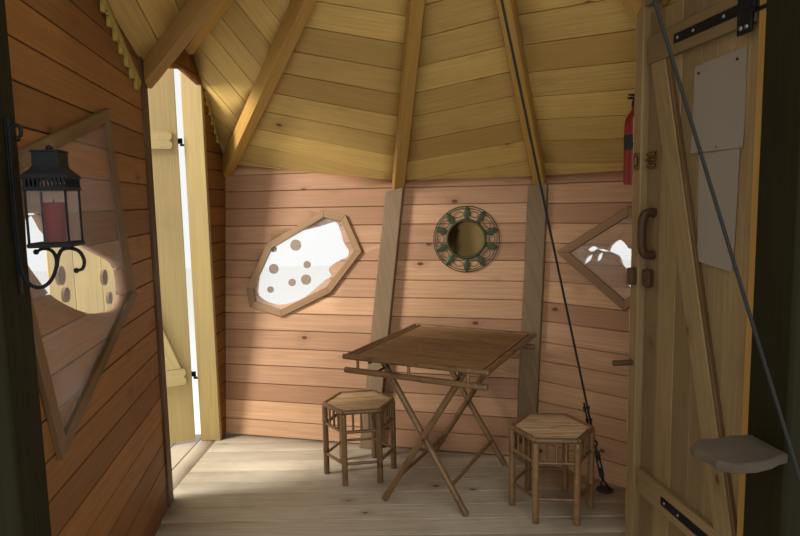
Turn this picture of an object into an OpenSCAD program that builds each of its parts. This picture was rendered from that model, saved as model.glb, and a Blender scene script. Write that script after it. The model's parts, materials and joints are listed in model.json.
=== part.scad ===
// Far end of a tree house's room: leaning boarded walls, a faceted roof on
// radial rafters, two boarded doors, carved windows, stay cables and furniture.
// Millimetres, +Z up, +X along the floor boards, +Y to the back wall.

/* [Floor] */
// Height of the floor above the ground
floor_z = 200; // [150:10:400]
// Thickness of the floor deck
deck_t = 28; // [20:1:40]
// Width of a floor bearer
bearer_w = 60; // [40:5:100]
// Spacing of the floor bearers
bearer_gap = 420; // [300:10:600]
// Depth of the landing outside the narrow door
landing_d = 520; // [300:10:900]
// Set-back of the deck under the porch roof
porch_in = 40; // [30:10:100]

/* [Plan] */
// Left start of the walls, to the left of the roof hub
start_x = -1190; // [-1300:5:-1100]
// Left start of the walls, in front of the roof hub
start_y = -640; // [-760:5:-560]
// Length of the left wall
left_len = 1557; // [1400:5:1700]
// Length of the bay that holds the narrow door
door_len = 905; // [880:5:960]
// Length of the left panel of the back wall
back_left_len = 1020; // [960:5:1100]
// Length of the middle panel of the back wall
back_mid_len = 983; // [900:5:1050]
// Plan direction of the left wall
left_dir = 98.7; // [96:0.1:101]
// Plan direction of the narrow door's bay
door_dir = 88; // [86:0.5:90]
// Plan direction of the back wall's left and middle panels
back_dir = -13.8; // [-16:0.1:-12]
// Plan direction of the back wall's right panel
right_dir = -42.4; // [-45:0.1:-40]
// Plan direction of the entrance wall
entrance_dir = -82; // [-85:0.5:-79]
// Plan direction from the hub to the right rafter
right_az = 28.5; // [26:0.5:31]
// Plan direction from the hub to the right end of the roof
front_az = -29.8; // [-32:0.2:-28]
// Distance from the hub to the entrance wall, along the right rafter
entrance_r = 922; // [880:2:980]

/* [Walls] */
// Thickness of the boarded walls
wall_t = 32; // [24:1:45]
// Clearance between pieces that bear on each other
seat = 0.05; // [0.04:0.01:0.2]
// Outward lean of the back wall
lean = 8.7; // [5:0.1:12]
// Sideways rake of the left back post, for each unit of height
post_rake = 0.089; // [0:0.001:0.15]
// Eaves height at the front of the left wall
eave_0 = 2600; // [2500:10:2700]
// Eaves height at the dark door post
eave_1 = 2230; // [2180:5:2300]
// Peak of the roof edge over the narrow door
eave_2 = 2540; // [2480:5:2600]
// Eaves height at the back left corner
eave_3 = 1830; // [1750:5:1900]
// Eaves height at the left back post, on which the two further right stand
eave_4 = 1680; // [1600:5:1750]
// Eaves height at the right end of the porch roof
eave_7 = 1950; // [1880:5:2020]
// Distance from the door post to the peak over the narrow door
peak_u = 600; // [540:5:650]

/* [Roof] */
// Height of the roof hub above the floor
apex_h = 3240; // [3100:10:3400]
// Height of the roof boarding, measured upright
roof_t = 30; // [20:1:45]
// Overhang of the eaves
overhang = 115; // [90:5:125]
// Distance from the hub to the end of the porch roof
porch_r = 1568; // [1500:4:1640]
// Radius of the hub block
hub_r = 150; // [145:1:180]
// Height of the hub block below the roof's peak
hub_h = 290; // [270:5:340]
// Width of a rafter
rafter_w = 74; // [60:1:84]
// Upright depth of a rafter
rafter_d = 105; // [90:1:130]

/* [Posts] */
// Width of a back post
post_w = 115; // [90:1:130]
// Depth of a back post
post_d = 55; // [40:1:70]
// Width of the dark door post
dark_w = 100; // [80:1:120]
// How far the dark door post stands into the room
dark_in = 10; // [5:1:60]
// Depth of the narrow door's jambs outside the wall's inner face
jamb_d = 130; // [120:1:150]
// Thickness of the pale jamb board
jamb_t = 35; // [28:1:45]
// Distance from the dark post to the pale jamb
opening_w = 790; // [760:2:800]
// Side of the two thick front posts
thick_w = 165; // [140:1:180]
// How far the thick front posts stand into the room
thick_in = 55; // [40:1:70]
// Width of the entrance's far post
far_w = 62; // [56:1:80]
// Width of the entrance's near post
near_w = 95; // [80:1:110]
// Depth of the entrance's posts
ent_post_d = 84; // [75:1:110]

/* [Doors] */
// Thickness of the door boards
leaf_t = 28; // [20:1:34]
// Thickness of the door ledges
ledge_t = 22; // [16:1:28]
// Width of the door ledges
ledge_w = 110; // [80:5:130]
// Height of the narrow door
narrow_h = 2400; // [2300:5:2450]
// Opening angle of the narrow door as it stands
narrow_open = 62.5; // [0:0.5:90]
// Clearance from the top of the entrance door to the roof
entrance_top_gap = 26; // [16:1:50]
// Width of the entrance door's leaf
entrance_w = 633; // [600:1:650]
// Gap beside the entrance door's leaf
leaf_gap = 10; // [8:1:14]
// Gap under the doors
sill_gap = 14; // [8:1:20]
// Height of the narrow door's upper ledge
narrow_hi = 1950; // [1800:5:2100]
// Height of the narrow door's lower ledge
narrow_lo = 450; // [300:5:600]
// Height of the entrance door's upper ledge
entrance_hi = 2130; // [2050:5:2150]
// Height of the entrance door's lower ledge
entrance_lo = 320; // [200:5:450]
// Thickness of a hinge strap
strap_t = 4; // [3:1:6]
// Height of a hinge strap
strap_h = 34; // [24:1:44]
// Radius of a hinge knuckle
knuckle_r = 8; // [7:0.5:10]
// Radius of a hinge pin
pin_r = 4; // [3:0.5:5]

/* [Windows] */
// Width of a window batten
batten_w = 46; // [30:1:60]
// Thickness of a window batten
batten_t = 20; // [12:1:28]
// Thickness of a clear pane
pane_t = 5; // [3:1:8]
// Thickness of the wooden discs on the panes
disc_t = 10; // [6:1:14]

/* [Fittings] */
// Radius of a stay cable
cable_r = 6; // [4:0.5:8]
// Radius of the mirror's ring
mirror_r = 208; // [180:1:230]
// Radius of the mirror's glass
glass_r = 112; // [90:1:130]
// Thickness of the shelf slab
shelf_t = 30; // [24:1:44]
// Reach of the shelf slab into the room
shelf_out = 235; // [180:5:280]

/* [Furniture] */
// Height of the table
table_h = 790; // [740:5:820]
// Length of the table's front edge
table_w = 770; // [700:5:800]
// Length of the table's side edge
table_l = 850; // [780:5:880]
// Radius of a bamboo pole
pole_r = 14; // [10:1:17]
// Height of a stool
stool_h = 425; // [380:5:460]
// Radius of a stool's seat across its corners
stool_r = 212; // [180:4:220]

/* [Hidden] */

// Plan directions as vectors, and the outward side of a wall that runs along one
function along(h) = [cos(h), sin(h), 0];
function outward(h) = [-sin(h), cos(h), 0];
// The vector that lies a outside one wall line and b outside the next
function meet(h1, h2, a, b) =
    let (p = outward(h1), q = outward(h2), d = p[0] * q[1] - p[1] * q[0])
    [(a * q[1] - b * p[1]) / d, (p[0] * b - q[0] * a) / d, 0];
// Length along direction h from p to the ray that leaves the hub at azimuth az
function to_ray(p, h, az) =
    let (a = along(az), d = along(h))
    -(p[0] * a[1] - p[1] * a[0]) / (d[0] * a[1] - d[1] * a[0]);

// Bays in order from the left, seen from inside, with the lean of each as a slope
HEADS = [left_dir, door_dir, back_dir, back_dir, right_dir, right_az + 180, entrance_dir];
slope = tan(lean);
eave_5 = eave_4 + 5;
eave_6 = eave_4 + 20;
SLOPES = [0, 0, slope, slope, slope, 0, 0];
c0 = [start_x, start_y, 0];
c1 = c0 + left_len * along(left_dir);
c2 = c1 + door_len * along(door_dir);
c3 = c2 + back_left_len * along(back_dir);
c4 = c3 + back_mid_len * along(back_dir);
c5 = c4 + to_ray(c4, right_dir, right_az) * along(right_dir);
c6 = entrance_r * along(right_az);
entrance_len = to_ray(c6, entrance_dir, front_az);
c7 = c6 + entrance_len * along(entrance_dir);
CORNERS = [c0, c1, c2, c3, c4, c5, c6, c7];

// How a corner moves outward for each unit of height
function rise(k) = k == 0 || k == 7 ? [0, 0, 0]
    : k == 3 ? outward(back_dir) * slope + along(back_dir) * post_rake
    : meet(HEADS[k - 1], HEADS[k], SLOPES[k - 1], SLOPES[k]);
// The mitred corner of a wall skin of thickness t
function mitre(k, t) = k == 0 ? outward(HEADS[0]) * t
    : k == 7 ? outward(HEADS[6]) * t
    : k == 3 ? outward(back_dir) * t
    : meet(HEADS[k - 1], HEADS[k], t, t);
function corner(k, z) = CORNERS[k] + rise(k) * z + [0, 0, floor_z + z];

// Points of the roof's underside, and the peak at the hub
peak = [0, 0, floor_z + apex_h];
TIPS = [corner(0, eave_0), corner(1, eave_1),
    corner(1, eave_2) + peak_u * along(door_dir), corner(2, eave_3),
    corner(3, eave_4) + 6 * along(back_dir), corner(4, eave_5), corner(5, eave_6),
    porch_r * along(front_az) + [0, 0, floor_z + eave_7]];
function reach(p) = norm([p[0], p[1]]);
function azimuth(p) = atan2(p[1], p[0]);
// Height over the floor of the underside of facet k's plane at plan point p
function under_roof(k, p) =
    let (a = TIPS[k], b = TIPS[k + 1], d = a[0] * b[1] - a[1] * b[0],
        s = (p[0] * b[1] - p[1] * b[0]) / d, t = (a[0] * p[1] - a[1] * p[0]) / d)
    apex_h + s * (a[2] - peak[2]) + t * (b[2] - peak[2]);
function beyond(p, more) = peak + (p - peak) * (1 + more / reach(p));

// The part's own middle, from its farthest points
narrow_pivot = [opening_w + 10, jamb_d + 20];
narrow_end = opening_w - 10;
narrow_y = jamb_d + 6;
pivot_1 = c1 + narrow_pivot[0] * along(door_dir) + narrow_pivot[1] * outward(door_dir);
leaf_tips = [for (y = [narrow_y, narrow_y + leaf_t])
    pivot_1 + (15 - narrow_pivot[0]) * along(door_dir - narrow_open)
        + (y - narrow_pivot[1]) * outward(door_dir - narrow_open)];
EAVES = [for (p = TIPS) beyond(p, overhang)];
mid_x = (min([for (p = leaf_tips) p[0]]) + max([for (p = EAVES) p[0]])) / 2;
mid_y = (min([for (p = EAVES) p[1]]) + max([for (p = EAVES) p[1]])) / 2;

// Height of each bay's skin before the roof trims it, and the reach of what trims it
BAY_TOPS = [eave_0 + 80, eave_2 + 80, eave_3 + 120, eave_4 + 120, eave_6 + 120, apex_h - 600, apex_h - 600];
wall_reach = apex_h - 500;
cut_h = apex_h;
void_t = 420;
void_w = 700;

// Solid between outline a, clockwise from its own outside, and outline b behind it
module between(a, b) {
    n = len(a);
    polyhedron(
        points = concat(a, b),
        faces = concat(
            [[for (i = [0:n - 1]) i]],
            [[for (i = [0:n - 1]) 2 * n - 1 - i]],
            [for (i = [0:n - 1]) [(i + 1) % n, i, n + i, n + (i + 1) % n]]));
}

// Bay k's skin: its inner face is room inside the plan line, its outer face t outside it,
// and its ends lie from and to past the bay's own
module skin(k, t, room = 0, from = 0, to = 0) {
    h = BAY_TOPS[k];
    left = from * along(HEADS[k]);
    right = to * along(HEADS[k]);
    a = [corner(k, 0) + left, corner(k, h) + left, corner(k + 1, h) + right, corner(k + 1, 0) + right];
    ends = [k, k, k + 1, k + 1];
    between([for (i = [0:3]) a[i] - mitre(ends[i], room)], [for (i = [0:3]) a[i] + mitre(ends[i], t)]);
}

// A wall's skin, just clear of its neighbour at the left
module wall_skin(k) {
    skin(k, wall_t, 0, seat);
}

// What lies outside the room; the pieces run into each other except at the inward corner
module outside() {
    for (k = [0:6]) skin(k, void_t, seat, k == 6 ? 0 : -1, k == 5 ? 0 : 1);
}

// Prism of height h over roof facet k, its tips moved outward
module over_facet(k, h, more) {
    a = beyond(TIPS[k], more);
    b = beyond(TIPS[k + 1], more);
    between([peak, b, a], [peak + [0, 0, h], b + [0, 0, h], a + [0, 0, h]]);
}

module above_roof() {
    translate([0, 0, -seat])
        for (k = [0:6]) over_facet(k, cut_h, void_w);
}

module facet(k) {
    color("burlywood") over_facet(k, roof_t, overhang);
}

// Children in bay k's own frame: x along it, y outward, z up its leaning face
module in_bay(k) {
    translate(CORNERS[k] + [0, 0, floor_z]) rotate([0, 0, HEADS[k]]) rotate([-atan(SLOPES[k]), 0, 0])
        children();
}

// Upright outline in a bay's frame, from depth y0 to y1
module plate(y0, y1) {
    translate([0, y1, 0]) rotate([90, 0, 0]) linear_extrude(y1 - y0) children();
}

// Closed curve through a few points
function blend4(a, b, c, d, t) = 0.5 * ((2 * b) + (c - a) * t + (2 * a - 5 * b + 4 * c - d) * t * t
    + (3 * b - a - 3 * c + d) * t * t * t);
function curve(p, n = 3) = [for (i = [0:len(p) - 1], s = [0:n - 1])
    blend4(p[(i + len(p) - 1) % len(p)], p[i], p[(i + 1) % len(p)], p[(i + 2) % len(p)], s / n)];
// A leaf outline from stem a to tip b
function leaf(a, b, w, n = 5) = let (d = b - a, q = [-d[1], d[0]] / norm(d))
    concat([for (i = [0:n]) a + d * i / n + q * w / 2 * sin(180 * i / n)],
        [for (i = [1:n - 1]) b - d * i / n - q * w / 2 * sin(180 * i / n)]);

left_frame = [[50, 1690], [880, 1930], [990, 1445], [1090, 1165], [195, 805], [20, 1350]];
left_cut = [[105, 1415], [85, 1500], [150, 1525], [225, 1540], [330, 1460], [555, 1425], [745, 1375],
    [915, 1325], [965, 1260], [960, 1185], [875, 1145], [720, 1155], [505, 1195], [275, 1280], [175, 1350]];
left_discs = [[345, 1340, 30], [750, 1285, 30], [375, 1275, 24], [795, 1200, 24]];
back_frame = [[830, 1480], [945, 1240], [735, 970], [395, 805], [160, 865], [135, 995], [275, 1295],
    [675, 1515]];
back_cut = [[205, 945], [200, 1020], [220, 1140], [250, 1220], [310, 1285], [400, 1345], [490, 1380],
    [585, 1400], [650, 1415], [750, 1440], [790, 1380], [815, 1300], [850, 1250], [840, 1205], [790, 1185],
    [715, 1130], [735, 1080], [685, 1050], [580, 960], [500, 915], [385, 885], [290, 895]];
back_discs = [[475, 1285, 37], [315, 1260, 22], [320, 1125, 33], [560, 1155, 24], [555, 1055, 34],
    [455, 1035, 25], [300, 985, 22]];
right_frame = [[90, 1245], [500, 1515], [850, 1245], [520, 940]];
right_cut = [[395, 1268], [415, 1308], [450, 1330], [485, 1312], [510, 1283], [560, 1278], [620, 1270],
    [640, 1210], [600, 1150], [560, 1100], [530, 1070], [512, 1110], [505, 1165], [475, 1195], [455, 1238],
    [420, 1255]];
right_leaves = [[[250, 1180], [308, 1246], 34], [[265, 1268], [335, 1278], 34], [[362, 1264], [330, 1194], 34],
    [[325, 1274], [402, 1262], 12]];

module window_ring(p) {
    plate(-batten_t, -seat) difference() {
        polygon(p);
        offset(delta = -batten_w) polygon(p);
    }
}

module window_pane(p) {
    plate(-pane_t, -seat) offset(delta = -batten_w) polygon(p);
}

module floor_outline(inset) {
    front = (porch_r - inset) * along(front_az);
    back = c5 + mitre(5, wall_t);
    polygon([for (p = [c0 + mitre(0, wall_t) + 3 * along(left_dir), c1 + mitre(1, wall_t), c2 + mitre(2, wall_t),
        c3 + mitre(3, wall_t), c4 + mitre(4, wall_t), back, front]) [p[0], p[1]]]);
    translate([c1[0], c1[1]]) rotate(door_dir)
        translate([0, -1]) square([door_len, landing_d + 1]);
}

module floor_deck() {
    color("tan") difference() {
        translate([0, 0, floor_z - deck_t]) linear_extrude(deck_t) floor_outline(porch_in);
        left_post_solid();
    }
}

module floor_bearers() {
    side = 2200;
    color("saddlebrown") difference() {
        linear_extrude(floor_z - deck_t) intersection() {
            offset(delta = -12) floor_outline(porch_in);
            union() {
                for (i = [-5:4])
                    translate([i * bearer_gap + bearer_gap / 2 - bearer_w / 2, -side])
                        square([bearer_w, 2 * side]);
            }
        }
        left_post_solid();
    }
}

module left_wall() {
    color("peru") difference() {
        skin(0, wall_t);
        above_roof();
        door_post_solid(30);
        in_bay(0) plate(-1, wall_t + 1) polygon(curve(left_cut));
    }
}

module left_window_frame() {
    color("sienna") in_bay(0) window_ring(left_frame);
}

module left_post_solid() {
    in_bay(0) translate([-thick_w, -thick_in, -floor_z])
        cube([thick_w, thick_w, floor_z + eave_0 + roof_t]);
}

module left_post() {
    color("darkolivegreen") difference() {
        left_post_solid();
        over_rafter(0);
    }
}

module door_post_solid(more = 0) {
    in_bay(0) translate([left_len - dark_w, -dark_in, 0])
        cube([dark_w + more, dark_in + jamb_d, wall_reach]);
}

module door_post() {
    color("saddlebrown") difference() {
        door_post_solid();
        above_roof();
    }
}

// Wavy lower edge of the board over the narrow door
head_wave = [[0, 2140], [40, 2160], [50, 2205], [130, 2215], [225, 2262], [250, 2305], [300, 2322],
    [380, 2300], [500, 2325], [600, 2315], [790, 2290]];

module door_head() {
    color("peru") difference() {
        intersection() {
            wall_skin(1);
            in_bay(1) plate(-1, wall_t + 1) polygon(concat(
                [for (p = head_wave) [min(p[0], opening_w), p[1]]],
                [[opening_w, wall_reach], [-60, wall_reach], [-60, head_wave[0][1]]]));
        }
        above_roof();
        door_post_solid();
    }
}

module door_jamb_solid() {
    in_bay(1) translate([opening_w, 0, 0]) cube([jamb_t, jamb_d, wall_reach]);
}

module door_jamb() {
    color("wheat") difference() {
        door_jamb_solid();
        above_roof();
    }
}

module door_side_wall() {
    color("peru") difference() {
        wall_skin(1);
        above_roof();
        in_bay(1) translate([-200, -60, -60]) cube([opening_w + jamb_t + 200, void_t, wall_reach + 200]);
    }
}

module back_wall_left() {
    color("peru") difference() {
        wall_skin(2);
        above_roof();
        in_bay(2) plate(-1, wall_t + 9) polygon(curve(back_cut));
    }
}

module back_wall_middle() {
    color("peru") difference() {
        wall_skin(3);
        above_roof();
    }
}

module back_wall_right() {
    color("peru") difference() {
        wall_skin(4);
        above_roof();
        in_bay(4) plate(-1, wall_t + 9) polygon(curve(right_cut));
        for (f = right_leaves)
            in_bay(4) plate(-1, wall_t + 9) polygon(leaf(f[0], f[1], f[2]));
    }
}

module back_window_frame() {
    color("sienna") in_bay(2) window_ring(back_frame);
}

module right_window_frame() {
    color("sienna") difference() {
        in_bay(4) window_ring(right_frame);
        corner_post_solid();
    }
}

module window_panes() {
    color("lightcyan") {
        in_bay(0) window_pane(left_frame);
        in_bay(2) window_pane(back_frame);
        in_bay(4) window_pane(right_frame);
    }
}

module discs(list, cut) {
    intersection() {
        for (d = list)
            translate([d[0], disc_t, d[1]]) rotate([90, 0, 0]) cylinder(h = disc_t, r = d[2], $fn = 48);
        plate(-1, wall_t) polygon(curve(cut));
    }
}

module window_discs() {
    color("peru") {
        in_bay(0) discs(left_discs, left_cut);
        in_bay(2) discs(back_discs, back_cut);
    }
}

// Post that follows corner k's line, faced toward heading h
module corner_line_post(k, h, w, d, back, top) {
    q = [for (s = [[-w / 2, -d], [-w / 2, back], [w / 2, back], [w / 2, -d]])
        s[0] * along(h) + s[1] * outward(h)];
    low = [for (p = q) corner(k, 0) + p];
    high = [for (p = q) corner(k, top) + p];
    between([low[3], low[2], low[1], low[0]], [high[3], high[2], high[1], high[0]]);
}

module back_post_left() {
    color("tan") difference() {
        corner_line_post(3, back_dir, post_w, post_d, -seat, eave_4 - 25);
        above_roof();
        over_rafter(4);
    }
}

module back_post_right() {
    color("tan") difference() {
        corner_line_post(4, (back_dir + right_dir) / 2, post_w, post_d, 30, eave_5 - 25);
        above_roof();
        outside();
        over_rafter(5);
    }
}

module corner_post_solid() {
    difference() {
        corner_line_post(5, (right_dir + right_az - 180) / 2, post_w, post_d, 5, eave_6 - 25);
        outside();
    }
}

module corner_post() {
    color("tan") difference() {
        corner_post_solid();
        above_roof();
        rafter_solid(6, seat);
    }
}

module far_post_solid() {
    in_bay(6) cube([far_w, ent_post_d, wall_reach]);
}

module near_post_solid() {
    in_bay(6) translate([near_x, 0, 0]) cube([near_w, ent_post_d, wall_reach]);
}
near_x = far_w + entrance_w + 2 * leaf_gap;
right_post_x = near_x + near_w;

module right_post_solid() {
    in_bay(6) translate([right_post_x, -thick_in, 0]) cube([thick_w, thick_w, wall_reach]);
}

module return_wall() {
    color("peru") difference() {
        wall_skin(5);
        above_roof();
        far_post_solid();
    }
}

module entrance_far_post() {
    color("wheat") difference() {
        far_post_solid();
        above_roof();
        rafter_solid(6, seat);
    }
}

module entrance_near_post() {
    color("wheat") difference() {
        near_post_solid();
        above_roof();
    }
}

module entrance_head() {
    color("peru") difference() {
        intersection() {
            wall_skin(6);
            in_bay(6) translate([far_w, -1, entrance_h + 25]) cube([near_x - far_w, wall_t + 2, wall_reach]);
        }
        above_roof();
        rafter_solid(6, seat);
    }
}

module right_post() {
    color("darkolivegreen") difference() {
        intersection() {
            right_post_solid();
            in_bay(6) translate([right_post_x, -thick_in, 0]) cube([thick_w, thick_w, right_top]);
        }
        above_roof();
        rafter_solid(7, seat);
    }
}
right_top = apex_h + (eave_7 - apex_h) * reach(c7) / porch_r + roof_t;

// Rafter k, from the hub to roof tip k, before it is fitted, and more around it
module rafter_solid(k, more = 0) {
    up = k == 0 || k == 7 ? roof_t : 60;
    end = k == 0 || k == 7 ? TIPS[k] : beyond(TIPS[k], 40);
    r = reach(end);
    w = rafter_w + 2 * more;
    d = rafter_d + more;
    rotate([0, 0, azimuth(end)]) translate([0, w / 2, 0]) rotate([90, 0, 0])
        linear_extrude(w) polygon([[0, peak[2] - d], [0, peak[2] + up], [r, end[2] + up], [r, end[2] - d]]);
}

module hub_solid(more = 0) {
    translate([0, 0, peak[2] - hub_h]) cylinder(h = hub_h + roof_t + more, r = hub_r, $fn = 64);
}

// Everything above the underside of rafter k, to trim what stands under it
module over_rafter(k) {
    r = reach(TIPS[k]);
    fall = (peak[2] - TIPS[k][2]) / r;
    rotate([0, 0, azimuth(TIPS[k])]) translate([0, 400, peak[2] - rafter_d - seat]) rotate([90, 0, 0])
        linear_extrude(800) polygon([[0, 0], [0, 600], [r + 500, 600], [r + 500, -fall * (r + 500)]]);
}

module fitted_rafter(k) {
    color("goldenrod") difference() {
        rafter_solid(k);
        above_roof();
        outside();
        hub_solid(60);
        children();
    }
}

// The rafter that meets its neighbour at the hub and butts against the door post
module rafter_on_post() {
    fitted_rafter(1) {
        rafter_solid(2, seat);
        rafter_solid(3, seat);
        door_post_solid();
    }
}

// The front rafter over the porch runs on past the entrance wall
module porch_rafter() {
    color("goldenrod") difference() {
        rafter_solid(7);
        above_roof();
        hub_solid();
    }
}

module roof_hub() {
    color("goldenrod") difference() {
        hub_solid();
        above_roof();
    }
}

// The narrow door hangs outside its jambs and stands open
module on_narrow_door() {
    in_bay(1) translate([narrow_pivot[0], narrow_pivot[1], 0]) rotate([0, 0, -narrow_open])
        translate([-narrow_pivot[0], -narrow_pivot[1], 0]) children();
}
module narrow_leaf() {
    color("wheat") on_narrow_door()
        translate([15, narrow_y, sill_gap]) cube([narrow_end - 15, leaf_t, narrow_h - sill_gap]);
}

// Ledge with a notched end, in a door's frame
module ledge(x0, x1, z) {
    h = ledge_w / 2;
    plate(0, ledge_t) polygon([[x0, z - h], [x1 - 12, z - h], [x1, z - h / 2], [x1 - 14, z],
        [x1, z + h / 2], [x1 - 12, z + h], [x0, z + h]]);
}

module brace(x0, z0, x1, z1, w) {
    d = [x1 - x0, z1 - z0];
    q = [-d[1], d[0]] / norm(d) * w / 2;
    plate(0, ledge_t) intersection() {
        polygon([[x0, z0] - 0.2 * d - q, [x0, z0] - 0.2 * d + q, [x1, z1] + 0.2 * d + q, [x1, z1] + 0.2 * d - q]);
        translate([min(x0, x1) - w, min(z0, z1)]) square([abs(d[0]) + 2 * w, abs(d[1])]);
    }
}

module narrow_ledges() {
    color("wheat") on_narrow_door() translate([0, narrow_y - ledge_t, 0]) {
        ledge(70, narrow_end - 35, narrow_hi);
        ledge(70, narrow_end - 35, narrow_lo);
        brace(narrow_end - 110, narrow_lo + ledge_w / 2, 170, narrow_hi - ledge_w / 2, 90);
    }
}

// Strap with a knuckle at its end, for a pivot at [px, py], on a face at depth y
module strap(px, py, y, x0, x1, z) {
    difference() {
        union() {
            translate([x0, y, z - strap_h / 2]) cube([x1 + 1 - x0, strap_t, strap_h]);
            hull() {
                translate([x1, y, z - strap_h / 2]) cube([1, strap_t, strap_h]);
                translate([px - knuckle_r, py - 1, z - strap_h / 2]) cube([2, 2, strap_h]);
            }
            translate([px, py, z - strap_h / 2]) cylinder(h = strap_h, r = knuckle_r, $fn = 32);
        }
        translate([px, py, z - strap_h]) cylinder(h = 2 * strap_h, r = pin_r + 0.1, $fn = 32);
    }
}

module narrow_straps() {
    color("black") on_narrow_door() {
        for (z = [narrow_lo, narrow_hi])
            strap(narrow_pivot[0], narrow_pivot[1], narrow_y + leaf_t, narrow_end - 260, narrow_end, z);
    }
}

// The entrance door hangs in its frame, flush with the room's face, and is shut
entrance_x = far_w + leaf_gap;
entrance_end = entrance_x + entrance_w;
entrance_pivot = [near_x, -14];
entrance_y = 26;
entrance_h = min([for (x = [entrance_x, entrance_end])
    under_roof(6, c6 + x * along(entrance_dir) + (entrance_y + leaf_t) * outward(entrance_dir))])
    - entrance_top_gap;

module entrance_leaf() {
    color("wheat") in_bay(6)
        translate([entrance_x, entrance_y, sill_gap]) cube([entrance_w, leaf_t, entrance_h - sill_gap]);
}

module entrance_ledges() {
    color("wheat") in_bay(6) translate([0, entrance_y - ledge_t, 0]) {
        mirror_ledge(entrance_hi);
        mirror_ledge(entrance_lo);
        brace(entrance_end - 60, entrance_lo + ledge_w / 2, entrance_x + 90, entrance_hi - ledge_w / 2, 95);
    }
}

module mirror_ledge(z) {
    translate([entrance_x + entrance_end, 0, 0]) mirror([1, 0, 0]) ledge(entrance_x + 8, entrance_end - 12, z);
}

module entrance_straps() {
    color("black") in_bay(6) for (z = [entrance_lo, entrance_hi])
        strap(entrance_pivot[0], entrance_pivot[1], entrance_y - ledge_t - strap_t,
            entrance_end - 430, entrance_end - 4, z);
}

// A pin on its bracket, for the pivot [px, py], fixed to a face at depth y
module hinge_pin(px, py, y, z, x_to) {
    low = z - strap_h / 2 - 14;
    translate([px, py, low]) cylinder(h = strap_h + 14, r = pin_r, $fn = 32);
    translate([px - knuckle_r, min(py - 6, y), low]) cube([2 * knuckle_r, abs(py - y) + 6, 12]);
    translate([min(px, x_to), min(y, y + (py > y ? 0 : -strap_t)), low])
        cube([abs(x_to - px), strap_t, 12]);
}

module hinge_pins() {
    color("black") {
        in_bay(1) for (z = [narrow_lo, narrow_hi])
            hinge_pin(narrow_pivot[0], narrow_pivot[1], jamb_d, z, narrow_pivot[0] + 24);
        in_bay(6) for (z = [entrance_lo, entrance_hi])
            hinge_pin(entrance_pivot[0], entrance_pivot[1], 0, z, entrance_pivot[0] + 60);
    }
}

handle_z = 1395;
handle_h = 210;

module entrance_handle() {
    color("saddlebrown") in_bay(6) translate([entrance_x + 62, entrance_y, handle_z]) rotate([0, -90, 0])
        rotate([0, 0, 180]) translate([-handle_h / 2, 0, -17]) linear_extrude(34) difference() {
            offset(r = 26) offset(delta = -26) translate([0, -26]) square([handle_h, 98]);
            translate([34, -30]) square([handle_h - 68, 62]);
            translate([-20, -40]) square([handle_h + 40, 40]);
        }
}

latch_z = 1172;
bolt_z = 1660;
bolt_h = 70;

module latch_block(w, h) {
    plate(0, 24) offset(r = 16) offset(delta = -16) square([w, h]);
}

module entrance_latch() {
    color("saddlebrown") in_bay(6) {
        translate([entrance_x + 14, entrance_y - 24, latch_z]) latch_block(54, 74);
        translate([entrance_x + 12, entrance_y - 18, bolt_z]) cube([60, 18, bolt_h]);
    }
}

peg_l = 88;

module latch_keeps() {
    color("saddlebrown") {
        in_bay(6) translate([far_w - 54, -24, latch_z]) latch_block(46, 74);
        in_bay(6) translate([far_w - 52, -6, bolt_z]) cube([44, 6, bolt_h]);
        in_bay(6) translate([30, -peg_l, 830]) rotate([-90, 0, 0]) cylinder(h = peg_l, r = 13, $fn = 32);
    }
}

// Natural-edged slab on the near post; its end runs past the post toward the room's open side
shelf_z = 792;
shelf_edge = [[24, 0], [19, -70], [30, -125], [26, -165], [44, -shelf_out + 34], [66, -shelf_out + 8],
    [100, -shelf_out], [138, -shelf_out + 16], [176, -shelf_out + 10], [206, -shelf_out + 40],
    [212, -130], [198, -70], [180, -34], [172, 0]];

module shelf() {
    color("gray") in_bay(6) translate([right_post_x, -thick_in - seat, shelf_z])
        linear_extrude(shelf_t) polygon(shelf_edge);
}

// Scalloped board in a bay's frame, from [x0, z0] to [x1, z1]
module scalloped(x0, z0, x1, z1, w, n, t) {
    d = [x1 - x0, z1 - z0];
    l = norm(d);
    plate(-t, -seat) translate([x0, z0]) rotate(atan2(d[1], d[0])) difference() {
        translate([0, -w]) square([l, w]);
        for (i = [0:n - 1])
            translate([l * (i + 0.5) / n, -w]) circle(r = l / n * 0.36, $fn = 12);
    }
}

module carved_trims() {
    color("peru") {
        difference() {
            in_bay(0) scalloped(left_len - dark_w - 680, eave_0 - 145, left_len - dark_w - 50, eave_1 - 100,
                74, 9, 18);
            above_roof();
            rafter_solid(1, seat);
            door_post_solid();
        }
        difference() {
            in_bay(1) scalloped(peak_u + 90, eave_2 - 88, door_len + 215, eave_3 + 75, 48, 10, 12);
            above_roof();
            rafter_solid(2, seat);
            rafter_solid(3, seat);
            outside();
            door_jamb_solid();
        }
    }
}

// Stay cables: one from the floor to the hub block, one to the underside of the front rafter
foot_t = 6;
cable_foot = c4 + 525 * along(right_dir) - 94 * outward(right_dir) + [0, 0, floor_z];
cable_aim = [0, 0, peak[2] - 190];
near_foot = (porch_r - porch_in - 226) * along(front_az) - 73 * outward(front_az) + [0, 0, floor_z];
near_r = 465;
near_aim = near_r * along(front_az)
    + [0, 0, peak[2] - rafter_d - near_r * (peak[2] - TIPS[7][2]) / porch_r];
// Where the turnbuckle begins and ends, up the cable from the floor
buckle = [80, 280];

// Unit vector up a cable, and the point at a distance up it
function up_cable(a, b) = (b - a) / norm(b - a);
function on_cable(a, b, s) = a + up_cable(a, b) * s;
// How far up a cable of radius r its square end clears a level face h above its foot
function end_clear(a, b, r, h) =
    let (z = up_cable(a, b)[2])
    (h + r * sqrt(1 - z * z)) / z;

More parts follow.
